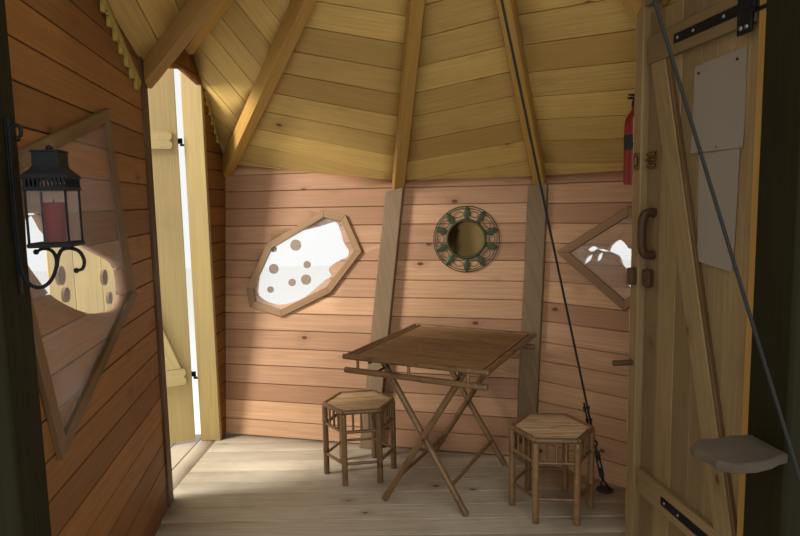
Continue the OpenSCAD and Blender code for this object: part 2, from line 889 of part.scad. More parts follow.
module rod(a, b, r) {
    d = b - a;
    translate(a) rotate([0, acos(d[2] / norm(d)), atan2(d[1], d[0])]) cylinder(h = norm(d), r = r, $fn = 24);
}

module cable(a, b, s0, s1) {
    rod(on_cable(a, b, s0), on_cable(a, b, s1), cable_r);
}

module cables() {
    low = end_clear(cable_foot, cable_aim, cable_r, foot_t + 0.2);
    high = end_clear(cable_foot, cable_aim, -cable_r, peak[2] - hub_h - floor_z - 0.2);
    near_low = end_clear(near_foot, near_aim, cable_r, foot_t + 0.2);
    color("dimgray") {
        cable(cable_foot, cable_aim, low, buckle[0]);
        cable(cable_foot, cable_aim, buckle[1], high);
        cable(near_foot, near_aim, near_low, norm(near_aim - near_foot) - 1.6 * cable_r);
    }
}

module cable_fittings() {
    color("dimgray") {
        translate(cable_foot) cylinder(h = foot_t, r = 45, $fn = 32);
        translate(near_foot) cylinder(h = foot_t, r = 30, $fn = 32);
        rod(on_cable(cable_foot, cable_aim, buckle[0]), on_cable(cable_foot, cable_aim, buckle[1]), 2 * cable_r);
    }
}

module torus_arc(R, r, a0, a1) {
    rotate([0, 0, a0]) rotate_extrude(angle = a1 - a0, $fn = 64) translate([R, 0]) circle(r = r, $fn = 16);
}

// The lantern stands on a scroll bracket that is fixed to the left post
lantern_w = 94;
lantern_z = 1455;
lantern_out = 46;
scroll_r = 60;

module lantern_cage() {
    h = lantern_w / 2;
    translate([-h, -h, 0]) cube([lantern_w, lantern_w, 12]);
    for (x = [-h + 3, h - 11], y = [-h + 3, h - 11]) translate([x, y, 12]) cube([8, 8, 138]);
    translate([0, 0, 150]) rotate(45) cylinder(h = 44, r1 = h * 1.5, r2 = h * 0.8, $fn = 4);
    translate([-30, -30, 194]) cube([60, 60, 38]);
    translate([0, 0, 232]) cylinder(h = 12, r = 8, $fn = 24);
    translate([0, 0, 12]) cylinder(h = 96, r = 26, $fn = 48);
}

module lantern() {
    color("black") in_bay(0) translate([-thick_w * 0.4, -thick_in, 0]) {
        translate([-9, -6, lantern_z - 120]) cube([18, 6, 430]);
        translate([0, -6 - scroll_r, lantern_z - 46]) rotate([90, 0, 90]) torus_arc(scroll_r, 5, 180, 360);
        for (y = [-6, -6 - 2 * scroll_r])
            translate([0, y, lantern_z - 46]) cylinder(h = 46, r = 5, $fn = 24);
        translate([0, -lantern_out - lantern_w / 2, lantern_z]) lantern_cage();
    }
}

module mirror_ring() {
    rotate([90, 0, 0]) {
        difference() {
            cylinder(h = 14, r = mirror_r, $fn = 96);
            translate([0, 0, -1]) cylinder(h = 16, r = mirror_r - 10, $fn = 96);
        }
        difference() {
            cylinder(h = 20, r = glass_r + 12, $fn = 96);
            translate([0, 0, -1]) cylinder(h = 22, r = glass_r, $fn = 96);
        }
        cylinder(h = 10, r = glass_r, $fn = 96);
        for (i = [0:9]) rotate([0, 0, 36 * i])
            translate([glass_r + 10, -20, 2]) cube([mirror_r - glass_r - 16, 40, 8]);
    }
}

module wall_mirror() {
    color("darkolivegreen") in_bay(3) translate([600, -seat, 1320]) mirror_ring();
}

extinguisher_z = 1600;

module extinguisher() {
    color("firebrick") translate(c6 + 70 * along(right_az) + 48.3 * outward(right_az)
        + [0, 0, floor_z + extinguisher_z]) {
        cylinder(h = 330, r = 48, $fn = 48);
        translate([0, 0, 330]) cylinder(h = 60, r = 22, $fn = 32);
    }
}

table_at = (c3 + c4) / 2 - 423 * outward(back_dir) + 74 * along(back_dir);
table_turn = -27;

// Half spread of the crossed legs at the floor and under the top, and their distance from the middle
leg_foot = 240;
leg_head = 250;
leg_y = 313;
leg_apart = 1.8 * pole_r;
stretcher_z = 140;
rail_drop = 68;
rail_in = 8;
strut_r = 7;
sunk = 20;

function leg_x(z) = leg_foot - (leg_foot + leg_head) * (z + sunk) / (table_h - pole_r + sunk);

module table() {
    top = table_h - pole_r;
    edge_x = table_w / 2 - pole_r;
    edge_y = table_l / 2 - pole_r;
    rail = table_w / 2 - rail_in;
    color("saddlebrown") translate(table_at + [0, 0, floor_z]) rotate([0, 0, table_turn]) {
        translate([-edge_x, -edge_y, table_h - 2 * pole_r + 4])
            cube([2 * edge_x, 2 * edge_y, 2 * pole_r - 8]);
        for (s = [-1, 1]) {
            rod([-table_w / 2, s * edge_y, top], [table_w / 2, s * edge_y, top], pole_r);
            rod([s * edge_x, -edge_y, top], [s * edge_x, edge_y, top], pole_r);
            rod([-rail, s * edge_y, top - rail_drop], [rail, s * edge_y, top - rail_drop], pole_r);
            for (x = [-0.8 * rail, -0.05 * rail, 0.75 * rail])
                rod([x, s * edge_y, top - rail_drop], [x, s * edge_y, top], strut_r);
        }
        intersection() {
            for (y = [-leg_y, leg_y]) {
                rod([-leg_foot, y, -sunk], [leg_head, y, top], pole_r);
                rod([leg_foot, y + leg_apart, -sunk], [-leg_head, y + leg_apart, top], pole_r);
            }
            translate([-600, -600, 0]) cube([1200, 1200, table_h]);
        }
        rod([-leg_x(stretcher_z), -leg_y, stretcher_z], [-leg_x(stretcher_z), leg_y, stretcher_z], 0.7 * pole_r);
        rod([leg_x(stretcher_z), leg_apart - leg_y, stretcher_z],
            [leg_x(stretcher_z), leg_apart + leg_y, stretcher_z], 0.7 * pole_r);
    }
}

module stool() {
    for (i = [0:5]) rotate([0, 0, 60 * i]) {
        rod([stool_r - 18, 0, 0], [stool_r - 18, 0, stool_h - 30], pole_r);
        for (z = [120, 300])
            rod([stool_r - 18, 0, z], (stool_r - 18) * [cos(60), sin(60), 0] + [0, 0, z], pole_r * 0.7);
    }
    translate([0, 0, stool_h - 30]) cylinder(h = 30, r = stool_r, $fn = 6);
}

stools_at = [[-487, 183, 8], [505, -270, -6]];

module stools() {
    color("saddlebrown") for (s = stools_at)
        translate(table_at + [s[0], s[1], floor_z]) rotate([0, 0, s[2]]) stool();
}

translate([-mid_x, -mid_y, 0]) {
    floor_bearers();
    floor_deck();
    left_wall();
    left_window_frame();
    left_post();
    door_post();
    door_head();
    door_jamb();
    door_side_wall();
    back_wall_left();
    back_wall_middle();
    back_wall_right();
    back_window_frame();
    right_window_frame();
    window_panes();
    window_discs();
    back_post_left();
    back_post_right();
    corner_post();
    return_wall();
    entrance_far_post();
    entrance_near_post();
    entrance_head();
    right_post();
    facet(0);  // roof_left
    facet(1);  // roof_over_door
    facet(2);  // roof_corner
    facet(3);  // roof_back_left
    facet(4);  // roof_back_middle
    facet(5);  // roof_back_right
    facet(6);  // roof_right
    roof_hub();
    fitted_rafter(0);  // rafter_front_left
    rafter_on_post();  // rafter_door_post
    fitted_rafter(2) rafter_solid(3, seat);  // rafter_door_head
    fitted_rafter(3) rafter_solid(4, seat);  // rafter_corner
    fitted_rafter(4);  // rafter_back_left
    fitted_rafter(5);  // rafter_back_right
    fitted_rafter(6);  // rafter_right
    porch_rafter();  // rafter_front_right
    narrow_leaf();
    narrow_ledges();
    narrow_straps();
    entrance_leaf();
    entrance_ledges();
    entrance_straps();
    entrance_handle();
    entrance_latch();
    hinge_pins();
    latch_keeps();
    shelf();
    carved_trims();
    cables();
    cable_fittings();
    lantern();
    wall_mirror();
    extinguisher();
    table();
    stools();
}
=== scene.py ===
"""Looks of the open end of a tree house room: boards, rafters, doors, bamboo and iron.

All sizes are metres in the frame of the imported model. Walls are numbered as bays from the
left front corner, and every bay has its own local frame: x along it, y outward, z up its face.
"""
from __future__ import annotations

import json
import logging
from dataclasses import dataclass, field
from enum import Enum
from functools import cached_property, partial
from math import atan, atan2, ceil, copysign, cos, degrees, hypot, pi, radians, sin, sqrt, tan
from typing import Callable, Sequence

import bmesh
import bpy
import numpy as np
from mathutils import Euler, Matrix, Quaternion, Vector
from numpy.linalg import norm

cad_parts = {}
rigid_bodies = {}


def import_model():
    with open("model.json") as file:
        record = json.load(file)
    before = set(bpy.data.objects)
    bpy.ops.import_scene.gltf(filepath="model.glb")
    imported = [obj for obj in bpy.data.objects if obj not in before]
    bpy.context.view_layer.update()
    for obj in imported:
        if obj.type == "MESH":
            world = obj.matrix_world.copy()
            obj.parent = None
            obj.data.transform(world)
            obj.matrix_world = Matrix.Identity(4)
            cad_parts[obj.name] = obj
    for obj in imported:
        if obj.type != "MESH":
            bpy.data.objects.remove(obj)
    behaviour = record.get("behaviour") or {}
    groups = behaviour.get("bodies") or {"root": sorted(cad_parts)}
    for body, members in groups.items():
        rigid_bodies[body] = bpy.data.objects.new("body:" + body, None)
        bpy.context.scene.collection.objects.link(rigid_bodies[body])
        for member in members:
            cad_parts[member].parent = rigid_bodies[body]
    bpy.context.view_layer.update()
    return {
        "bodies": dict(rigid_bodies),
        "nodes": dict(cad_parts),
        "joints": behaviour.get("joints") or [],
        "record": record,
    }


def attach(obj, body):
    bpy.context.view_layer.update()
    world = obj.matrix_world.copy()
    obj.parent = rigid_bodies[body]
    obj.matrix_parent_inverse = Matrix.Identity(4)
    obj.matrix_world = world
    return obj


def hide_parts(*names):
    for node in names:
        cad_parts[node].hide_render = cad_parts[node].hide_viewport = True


log = logging.getLogger("tree_house")
Array = np.ndarray
Numbers = Array | float
Place = Callable[[Numbers, Numbers, Numbers], Array]
Rings = Sequence[tuple[float, float]]
Piece = bpy.types.Object
Colour = tuple[float, float, float]
UP = np.array([0.0, 0.0, 1.0])
# Gap between a piece and what it sits on, and half the gap between boards that lie side by side
SEAT, TOUCH = 0.0002, 0.00005


def unit(vector: Array) -> Array:
    """Returns a vector brought to length one."""
    return vector / norm(vector)


def slant(d: Array) -> float:
    """Returns the angle of a flat vector from its first axis, in degrees."""
    return degrees(atan2(d[1], d[0]))


def heading(degrees: float) -> Array:
    """Returns the level unit vector that points along a plan direction."""
    return np.array([cos(radians(degrees)), sin(radians(degrees)), 0.0])


def outward(degrees: float) -> Array:
    """Returns the level unit vector on the outer side of a wall that runs along a direction."""
    return np.array([-sin(radians(degrees)), cos(radians(degrees)), 0.0])


def meet(h1: float, h2: float, a: float, b: float) -> Array:
    """Finds the vector that lies a outside one wall line and b outside the next.

    Args:
        h1: Plan direction of the first wall, in degrees.
        h2: Plan direction of the second wall, in degrees.
        a: Distance outside the first wall.
        b: Distance outside the second wall.

    Returns:
        The level vector that solves both distances at once.
    """
    rows = np.array([outward(h1)[:2], outward(h2)[:2]])
    return np.append(np.linalg.solve(rows, np.array([a, b])), 0.0)


def smooth(points: Array | Sequence, steps: int = 3, closed: bool = True) -> Array:
    """Draws the Catmull-Rom curve through a few points.

    Each span is 0.5 (2b + (c - a) t + (2a - 5b + 4c - d) t^2 + (3b - a - 3c + d) t^3).

    Args:
        points: Corner points in order.
        steps: Samples in each span.
        closed: True for a closed curve, False for one that ends at its first and last points.

    Returns:
        The points of the curve.
    """
    b = np.asarray(points, float)
    if not closed:
        b = np.vstack([2 * b[0] - b[1], b, 2 * b[-1] - b[-2]])
    b = b[:, None, :]
    a, c, d = np.roll(b, 1, 0), np.roll(b, -1, 0), np.roll(b, -2, 0)
    t = (np.arange(steps) / steps)[None, :, None]
    curve = 0.5 * (2 * b + (c - a) * t + (2 * a - 5 * b + 4 * c - d) * t**2
                   + (3 * b - a - 3 * c + d) * t**3)
    if not closed:
        return np.vstack([curve[1:-2].reshape(-1, b.shape[-1]), b[-2]])
    return curve.reshape(-1, b.shape[-1])


def inset_loop(points: Array, distance: float) -> Array:
    """Moves every side of a closed outline inward and returns its new corners.

    A corner moves by distance (n1 + n2) / (1 + n1 . n2), with n1 and n2 its sides' normals.
    """
    side = np.roll(points, -1, 0) - points
    normal = np.stack([-side[:, 1], side[:, 0]], 1) / norm(side, axis=1, keepdims=True)
    area = 0.5 * np.sum(points[:, 0] * np.roll(points[:, 1], -1) - np.roll(points[:, 0], -1) * points[:, 1])
    normal *= copysign(1.0, area)
    before = np.roll(normal, 1, 0)
    return points + distance * (normal + before) / (1 + np.sum(normal * before, 1, keepdims=True))


def chamfered(width: float, depth: float, cut: float) -> Array:
    """Returns the outline of a bar from 0 to width and 0 to depth with its four corners cut."""
    w, d, c = width, depth, min(cut, width / 3, depth / 3)
    return np.array([[c, 0], [w - c, 0], [w, c], [w, d - c], [w - c, d], [c, d], [0, d - c], [0, c]])


def lapped(thick: float, groove: float = 0.0026, step: float = 0.012, cut: float = 0.0018) -> Array:
    """Returns a lapped board's section as rows of side, offset and depth.

    A point lies at side times the board's width plus its offset. Neighbours nearly touch
    between the grooves in their two faces, and nowhere else.

    Args:
        thick: Thickness of the board.
        groove: Half the width of a groove.
        step: Depth of a groove.
        cut: Size of the small bevel along a groove.

    Returns:
        Fourteen rows, round the section.
    """
    near = [(0, TOUCH, step), (0, groove, step), (0, groove, cut), (0, groove + cut, 0),
            (1, -groove - cut, 0), (1, -groove, cut), (1, -groove, step), (1, -TOUCH, step)]
    far = [(1, -TOUCH, thick - step), (1, -groove, thick - step), (1, -groove, thick), (0, groove, thick),
           (0, groove, thick - step), (0, TOUCH, thick - step)]
    return np.array(near + far)


def circle(sides: int, radius: float = 1.0, turn: float = 0.0) -> Array:
    """Returns points round a circle, the first at the angle turn."""
    a = turn + np.arange(sides) * 2 * pi / sides
    return radius * np.stack([np.cos(a), np.sin(a)], 1)


def carried(profile: Array, path: Array, up: Sequence[float] = (0, 0, 1),
            scale: Array | float = 1.0) -> Array:
    """Carries a flat outline along a path.

    At each path point the outline's x runs along tangent x up, and its y along that vector
    crossed with the tangent, both times the scale there.

    Args:
        profile: Outline points, P by 2.
        path: Path points, N by 3.
        up: A direction that is never along the path.
        scale: One factor, or one for each path point.

    Returns:
        Points, N by P by 3.
    """
    path = np.asarray(path, float)
    tangent = np.gradient(path, axis=0)
    tangent /= norm(tangent, axis=1, keepdims=True)
    side = np.cross(tangent, np.asarray(up, float))
    side /= norm(side, axis=1, keepdims=True)
    normal = np.cross(side, tangent)
    size = np.broadcast_to(np.asarray(scale, float), (len(path),))[:, None, None]
    return path[:, None] + size * (profile[None, :, :1] * side[:, None]
                                   + profile[None, :, 1:] * normal[:, None])


def added(name: str, data: bpy.types.ID) -> Piece:
    """Puts new data into the scene as an object."""
    made = bpy.data.objects.new(name, data)
    bpy.context.scene.collection.objects.link(made)
    return made


@dataclass
class Shell:
    """Closed sweeps collected into one mesh, with a grain map and a tone for each sweep."""

    seed: int = 1
    points: list[Array] = field(default_factory=list)
    faces: list[list[int]] = field(default_factory=list)
    grain: list[Array] = field(default_factory=list)
    tone: list[Array] = field(default_factory=list)
    count: int = 0

    def __post_init__(self) -> None:
        """Starts the shell's own random numbers."""
        self.random = np.random.default_rng(self.seed)

    def sweeps(self, points: Array, looped: bool = False, flat: Array | None = None) -> "Shell":
        """Adds many sweeps of closed outlines as quads with end caps.

        Corner (i, j) joins (i + 1, j), (i + 1, j + 1) and (i, j + 1), the last index wrapping
        round the outline. The grain map is metres along the path and metres round the outline.

        Args:
            points: Points, B sweeps by N stations by P outline points by 3.
            looped: True where the path closes on itself, which leaves out the caps.
            flat: The grain map of each point, where it isn't the usual one.

        Returns:
            The shell, so that calls can be chained.
        """
        b, n, p = points.shape[:3]
        spans = n if looped else n - 1
        base = self.count + np.arange(b)[:, None, None] * n * p
        i, j = np.arange(spans)[None, :, None], np.arange(p)[None, None, :]
        i2, j2 = (i + 1) % n, (j + 1) % p
        quads = np.stack([base + i * p + j, base + i2 * p + j, base + i2 * p + j2, base + i * p + j2], -1)
        step = norm(np.diff(points, axis=1, append=points[:, :1]), axis=-1).mean(-1)
        u = np.concatenate([np.zeros((b, 1)), np.cumsum(step, 1)], 1)
        around = norm(np.diff(points[:, 0], axis=1, append=points[:, 0, :1]), axis=-1)
        v = np.concatenate([np.zeros((b, 1)), np.cumsum(around, 1)], 1)
        u0, u1 = (np.broadcast_to(a[:, :, None], (b, spans, p)) for a in (u[:, :spans], u[:, 1:spans + 1]))
        v0, v1 = (np.broadcast_to(a[:, None, :], (b, spans, p)) for a in (v[:, :p], v[:, 1:]))
        maps = np.stack([np.stack([u0, v0], -1), np.stack([u1, v0], -1),
                         np.stack([u1, v1], -1), np.stack([u0, v1], -1)], -2)
        caps = [np.broadcast_to(np.stack([v[:, :p] * 0.3, v[:, :p]], -1), (b, p, 2))] * 2
        if flat is not None:
            corners = ((i, j), (i2, j), (i2, j2), (i, j2))
            maps = np.stack([flat[:, k[0], m[0]] for k, m in corners], -2)
            caps = [flat[:, 0, ::-1], flat[:, -1]]
        tones = self.random.random(b)
        self.points.append(points.reshape(-1, 3))
        self.faces += quads.reshape(-1, 4).tolist()
        self.grain.append(maps.reshape(-1, 2))
        self.tone.append(np.repeat(tones, spans * p * 4))
        if not looped:
            first = self.count + (np.arange(b)[:, None] * n * p + np.arange(p)[None, ::-1])
            last = self.count + (np.arange(b)[:, None] * n * p + (n - 1) * p + np.arange(p)[None, :])
            self.faces += first.tolist() + last.tolist()
            self.grain += [cap.reshape(-1, 2) for cap in caps]
            self.tone += [np.repeat(tones, p), np.repeat(tones, p)]
        self.count += b * n * p
        return self

    def sweep(self, points: Array, looped: bool = False) -> "Shell":
        """Adds one sweep, N stations by P outline points by 3."""
        return self.sweeps(points[None], looped)

    def slab(self, place: Place, outline: Array, low: float, high: float, grain: float = 0.0,
             cut: float = 0.002) -> "Shell":
        """Adds an upright outline as a solid between two depths, its edges bevelled.

        The rings run from face to face, inset by the cut at both faces and full between.

        Args:
            place: Turns x, depth and z into the model's coordinates.
            outline: Points of x and z.
            low: Depth of the first face.
            high: Depth of the second face.
            grain: Direction of the grain from x, in degrees.
            cut: Size of the bevel.

        Returns:
            The shell.
        """
        inner = inset_loop(outline, cut)
        rings = [(low, inner), (low + cut, outline), (high - cut, outline), (high, inner)]
        points = np.stack([place(ring[:, 0], y, ring[:, 1]) for y, ring in rings])
        c, d = cos(radians(grain)), sin(radians(grain))
        flat = np.stack([np.stack([ring[:, 0] * c + ring[:, 1] * d, ring[:, 1] * c - ring[:, 0] * d + y], 1)
                         for y, ring in rings])
        return self.sweeps(points[None], flat=flat[None])

    def plank(self, place: Place, low: Sequence[float], high: Sequence[float], axis: int,
              cut: float = 0.003) -> "Shell":
        """Adds a bar between two corners, all its edges cut, with its grain along one axis.

        Args:
            place: Turns local coordinates into the model's.
            low: Lowest local corner.
            high: Highest local corner.
            axis: Number of the local axis along the grain.
            cut: Size of the cut.

        Returns:
            The shell.
        """
        low, size = np.asarray(low, float), np.asarray(high, float) - np.asarray(low, float)
        a, b = (i for i in range(3) if i != axis)
        middle = size[[a, b]] / 2
        ring = chamfered(size[a], size[b], cut) - middle
        inset = np.array([cut, 0, 0, cut])[:, None, None]
        local = np.zeros((4, 8, 3))
        local[..., [a, b]] = low[[a, b]] + middle + ring * (1 - inset / middle)
        local[..., axis] = low[axis] + np.array([0, cut, size[axis] - cut, size[axis]])[:, None]
        return self.sweep(place(local[..., 0], local[..., 1], local[..., 2]))

    def rod(self, a: Array, b: Array, r: float, sides: int = 10) -> "Shell":
        """Adds a round rod with bevelled ends between two points."""
        length = norm(b - a)
        cut = min(0.18 * r, length / 4)
        s = np.array([0, cut, length - cut, length])
        path = a + (b - a) / length * s[:, None]
        return self.sweep(carried(circle(sides, r), path, self._across(b - a), np.array([0.82, 1, 1, 0.82])))

    def culm(self, a: Array, b: Array, r: float, pitch: float = 0.19, sides: int = 10) -> "Shell":
        """Adds a bamboo pole.

        Its radius is r (1 + 0.13 e^-(d / 4 mm)^2 - 0.06 e^-(d / 1.2 mm)^2) at a distance d from
        the nearest knuckle, and its middle bows by a thousandth of its length.

        Args:
            a: First end.
            b: Last end.
            r: Radius between the knuckles.
            pitch: Distance between knuckles.
            sides: Sides of the section.

        Returns:
            The shell.
        """
        length = norm(b - a)
        knots = pitch * (np.arange(-1, int(length / pitch) + 2) + self.random.random())
        steps = np.array([-0.009, -0.005, -0.003, -0.001, 0, 0.001, 0.003, 0.005, 0.009])
        near = (knots[:, None] + steps).ravel()
        near = near[(near > 0.003) & (near < length - 0.003)]
        s = np.concatenate([[0, 0.0015], near, [length - 0.0015, length]])
        s = np.unique(np.concatenate([s, np.linspace(0.01, length - 0.01, max(3, int(length / 0.06)))]))
        d = np.abs(s[:, None] - knots).min(1)
        scale = 1 + 0.13 * np.exp(-(d / 0.004) ** 2) - 0.06 * np.exp(-(d / 0.0012) ** 2)
        scale[[0, -1]] *= 0.86
        up = self._across(b - a)
        bow = 0.001 * length * np.sin(pi * s / length) * self.random.uniform(-1, 1)
        path = a + (b - a) / length * s[:, None] + bow[:, None] * up
        return self.sweep(carried(circle(sides, r), path, up, scale))

    def strip(self, a: Array, b: Array, width: float, rise: float) -> "Shell":
        """Adds a split cane: a half-round section, a little raised at its knuckles."""
        length = norm(b - a)
        knot = length * self.random.uniform(0.15, 0.85)
        near = knot + np.array([-0.006, -0.002, 0, 0.002, 0.006])
        s = np.unique(np.clip(np.concatenate([[0, length], near]), 0, length))
        scale = 1 + 0.07 * np.exp(-((s - knot) / 0.003) ** 2)
        arc = np.radians([180, 150, 120, 90, 60, 30, 0])
        section = np.stack([0.5 * width * np.cos(arc), rise * np.sin(arc) ** 0.8], 1)
        return self.sweep(carried(section, a + (b - a) / length * s[:, None], (0, 0, 1), scale))

    def ball(self, centre: Array, r: float, sides: int = 12) -> "Shell":
        """Adds a ball: circles of radius r cos e at heights r sin e."""
        e = np.radians([-85, -60, -30, 0, 30, 60, 85])
        flat = circle(sides)
        rings = [np.column_stack([flat * r * cos(v), np.full(sides, r * sin(v))]) for v in e]
        return self.sweep(centre + np.stack(rings))

    def turned(self, place: Place, rings: Rings, sides: int = 24) -> "Shell":
        """Stacks circles of given heights and radii in a local frame."""
        flat = circle(sides)
        return self.sweep(np.stack([place(flat[:, 0] * r, flat[:, 1] * r, z) for z, r in rings]))

    def lash(self, centre: Array, axis: Array, r: float) -> "Shell":
        """Adds a thick dark binding, a short barrel round an axis."""
        axis = unit(axis)
        s = np.array([-0.011, -0.009, 0.0, 0.009, 0.011])[:, None]
        scale = np.array([0.9, 1.06, 1.1, 1.06, 0.9])
        return self.sweep(carried(circle(12, r), centre + axis * s, self._across(axis), scale))

    @staticmethod
    def _across(direction: Array) -> Array:
        """Returns the unit axis that lies most across a direction."""
        return np.eye(3)[int(np.argmin(np.abs(direction)))]

    def build(self, name: str, sharp: float = 32.0) -> Piece:
        """Makes the collected sweeps into an object.

        Args:
            name: Name of the object and its mesh.
            sharp: Angle in degrees over which an edge stays sharp.

        Returns:
            The new object, at the origin.
        """
        mesh = bpy.data.meshes.new(name)
        mesh.from_pydata(np.concatenate(self.points), [], self.faces)
        grain = mesh.uv_layers.new(name="grain")
        grain.uv.foreach_set("vector", np.concatenate(self.grain).astype(np.float32).ravel())
        tone = mesh.uv_layers.new(name="tone")
        value = np.concatenate(self.tone).astype(np.float32)
        tone.uv.foreach_set("vector", np.stack([value, 1 - value], 1).ravel())
        solid = bmesh.new()
        solid.from_mesh(mesh)
        bmesh.ops.recalc_face_normals(solid, faces=solid.faces)
        solid.to_mesh(mesh)
        solid.free()
        mesh.shade_smooth()
        mesh.set_sharp_from_angle(angle=radians(sharp))
        return added(name, mesh)


class Cut(Enum):
    """Ways to carve one solid with another."""

    AWAY = "DIFFERENCE"
    WITHIN = "INTERSECT"


def block(low: Array, high: Array) -> Piece:
    """Makes a closed tool between two outlines."""
    return Shell().sweep(np.stack([low, high])).build("tool")


def carve(piece: Piece, tool: Piece, way: Cut) -> None:
    """Carves a piece with a closed tool, keeps the result as its mesh and deletes the tool."""
    modifier = piece.modifiers.new("carve", "BOOLEAN")
    modifier.operation = way.value
    modifier.solver = "MANIFOLD"
    modifier.object = tool
    bpy.context.view_layer.update()
    before = piece.data
    mesh = bpy.data.meshes.new_from_object(piece.evaluated_get(bpy.context.evaluated_depsgraph_get()))
    piece.modifiers.clear()
    piece.data = mesh
    mesh.name = piece.name
    bpy.data.meshes.remove(before)
    bpy.data.meshes.remove(tool.data)


def bevelled(piece: Piece, width: float, segments: int = 2) -> Piece:
    """Rounds a piece's sharp edges with a live modifier and returns it."""
    modifier = piece.modifiers.new("edges", "BEVEL")
    modifier.width = width
    modifier.segments = segments
    modifier.limit_method = "ANGLE"
    modifier.angle_limit = radians(40)
    return piece


class Sock:
    """A node socket that takes part in Python arithmetic."""

    def __init__(self, shader: "Shader", link: bpy.types.NodeSocket) -> None:
        """Keeps the socket and the shader that it belongs to."""
        self.shader, self.link = shader, link

    def _math(self, operation: str, *values: "Sock | float") -> "Sock":
        """Adds a Math node over this and other values."""
        return self.shader.node("Math", {"operation": operation}, dict(enumerate(values)))

    def __add__(self, other: "Sock | float") -> "Sock":
        """Returns self + other."""
        return self._math("ADD", self, other)

    __radd__ = __add__

    def __mul__(self, other: "Sock | float") -> "Sock":
        """Returns self times other."""
        return self._math("MULTIPLY", self, other)

    __rmul__ = __mul__

    def __sub__(self, other: "Sock | float") -> "Sock":
        """Returns self - other."""
        return self._math("SUBTRACT", self, other)

    def __rsub__(self, other: "Sock | float") -> "Sock":
        """Returns other - self."""
        return self._math("SUBTRACT", other, self)

    def __gt__(self, other: "Sock | float") -> "Sock":
        """Returns 1 where self is over other, and 0 elsewhere."""
        return self._math("GREATER_THAN", self, other)

    def sine(self) -> "Sock":
        """Returns the sine of the value, brought to between 0 and 1."""
        return self._math("SINE", self) * 0.5 + 0.5

    def ramp(self, low: float, high: float) -> "Sock":
        """Returns 0 at low, 1 at high, and a smooth step between."""
        return self.shader.node("MapRange", {"interpolation_type": "SMOOTHSTEP"},
                                {"Value": self, "From Min": low, "From Max": high})


class Shader:
    """A material's node tree, and the few calls that build it."""

    def __init__(self, name: str, world: bool = False) -> None:
        """Starts an empty material, or an empty world."""
        self.material = (bpy.data.worlds if world else bpy.data.materials).new(name)
        self.material.use_nodes = True
        self.tree = self.material.node_tree
        self.tree.nodes.clear()

    def node(self, kind: str, settings: dict | None = None, inputs: dict | None = None,
             out: int | str | None = 0) -> Sock | None:
        """Adds a node.

        Args:
            kind: Node type without its ShaderNode prefix.
            settings: Properties set first.
            inputs: Values or links by socket name or number.
            out: Output socket's name or number, or None for a node without one.

        Returns:
            The chosen output.
        """
        made = self.tree.nodes.new("ShaderNode" + kind)
        for key, value in (settings or {}).items():
            setattr(made, key, value)
        for key, value in (inputs or {}).items():
            if isinstance(value, Sock):
                self.tree.links.new(value.link, made.inputs[key])
            else:
                made.inputs[key].default_value = value
        return None if out is None else Sock(self, made.outputs[out])

    def spot(self) -> Sock:
        """Returns the place on the piece."""
        return self.node("TexCoord", None, None, "Object")

    def split(self, vector: Sock) -> list[Sock]:
        """Returns the three numbers of a vector."""
        made = self.node("SeparateXYZ", None, {0: vector}).link.node
        return [Sock(self, made.outputs[i]) for i in range(3)]

    def grain(self) -> tuple[Sock, Sock, Sock]:
        """Returns the distance along the grain, across it, and the tone of the board."""
        along, across, _ = self.split(self.node("UVMap", {"uv_map": "grain"}))
        return along, across, self.split(self.node("UVMap", {"uv_map": "tone"}))[0]

    def upright(self, axis: int = 2) -> tuple[Sock, Sock, float]:
        """Returns like coordinates for a solid piece whose grain runs along an axis."""
        across = self.split(self.spot())
        along = across.pop(axis)
        return along, across[0] + across[1] * 0.83, 0.4

    def vector(self, x: Sock | float, y: Sock | float, z: Sock | float = 0.0) -> Sock:
        """Returns a vector made of three numbers."""
        return self.node("CombineXYZ", None, {0: x, 1: y, 2: z})

    def noise(self, place: Sock, scale: float = 1.0, detail: float = 2.0, rough: float = 0.55) -> Sock:
        """Returns smooth noise, mostly between 0.25 and 0.75."""
        return self.node("TexNoise", None,
                         {"Vector": place, "Scale": scale, "Detail": detail, "Roughness": rough})

    def mix(self, factor: Sock | float, a: Sock | Sequence[float], b: Sock | Sequence[float],
            blend: str = "MIX") -> Sock:
        """Returns colour a turned toward b by the factor."""
        full = {k: (*v, 1) if not isinstance(v, Sock) else v for k, v in ((6, a), (7, b))}
        return self.node("Mix", {"data_type": "RGBA", "blend_type": blend, "clamp_factor": True},
                         {0: factor, **full}, 2)

    def bump(self, height: Sock, distance: float, strength: float = 1.0) -> Sock:
        """Returns the normal of a surface with a fine relief."""
        return self.node("Bump", None, {"Height": height, "Distance": distance, "Strength": strength})

    def finish(self, **sockets: object) -> bpy.types.Material:
        """Adds the surface shader with its sockets, given in lower case, and returns the material."""
        named = {key.replace("_", " ").title().replace("Ior", "IOR"): value for key, value in sockets.items()}
        surface = self.node("BsdfPrincipled", None, {
            key: (*value, 1) if isinstance(value, tuple) and len(value) == 3 else value
            for key, value in named.items()})
        self.node("OutputMaterial", None, {0: surface}, None)
        return self.material


class Grain(Enum):
    """Where a wood finish finds the direction of its grain."""

    MAPPED = "mapped"
    UPRIGHT = "upright"
    SIDEWAYS = "sideways"


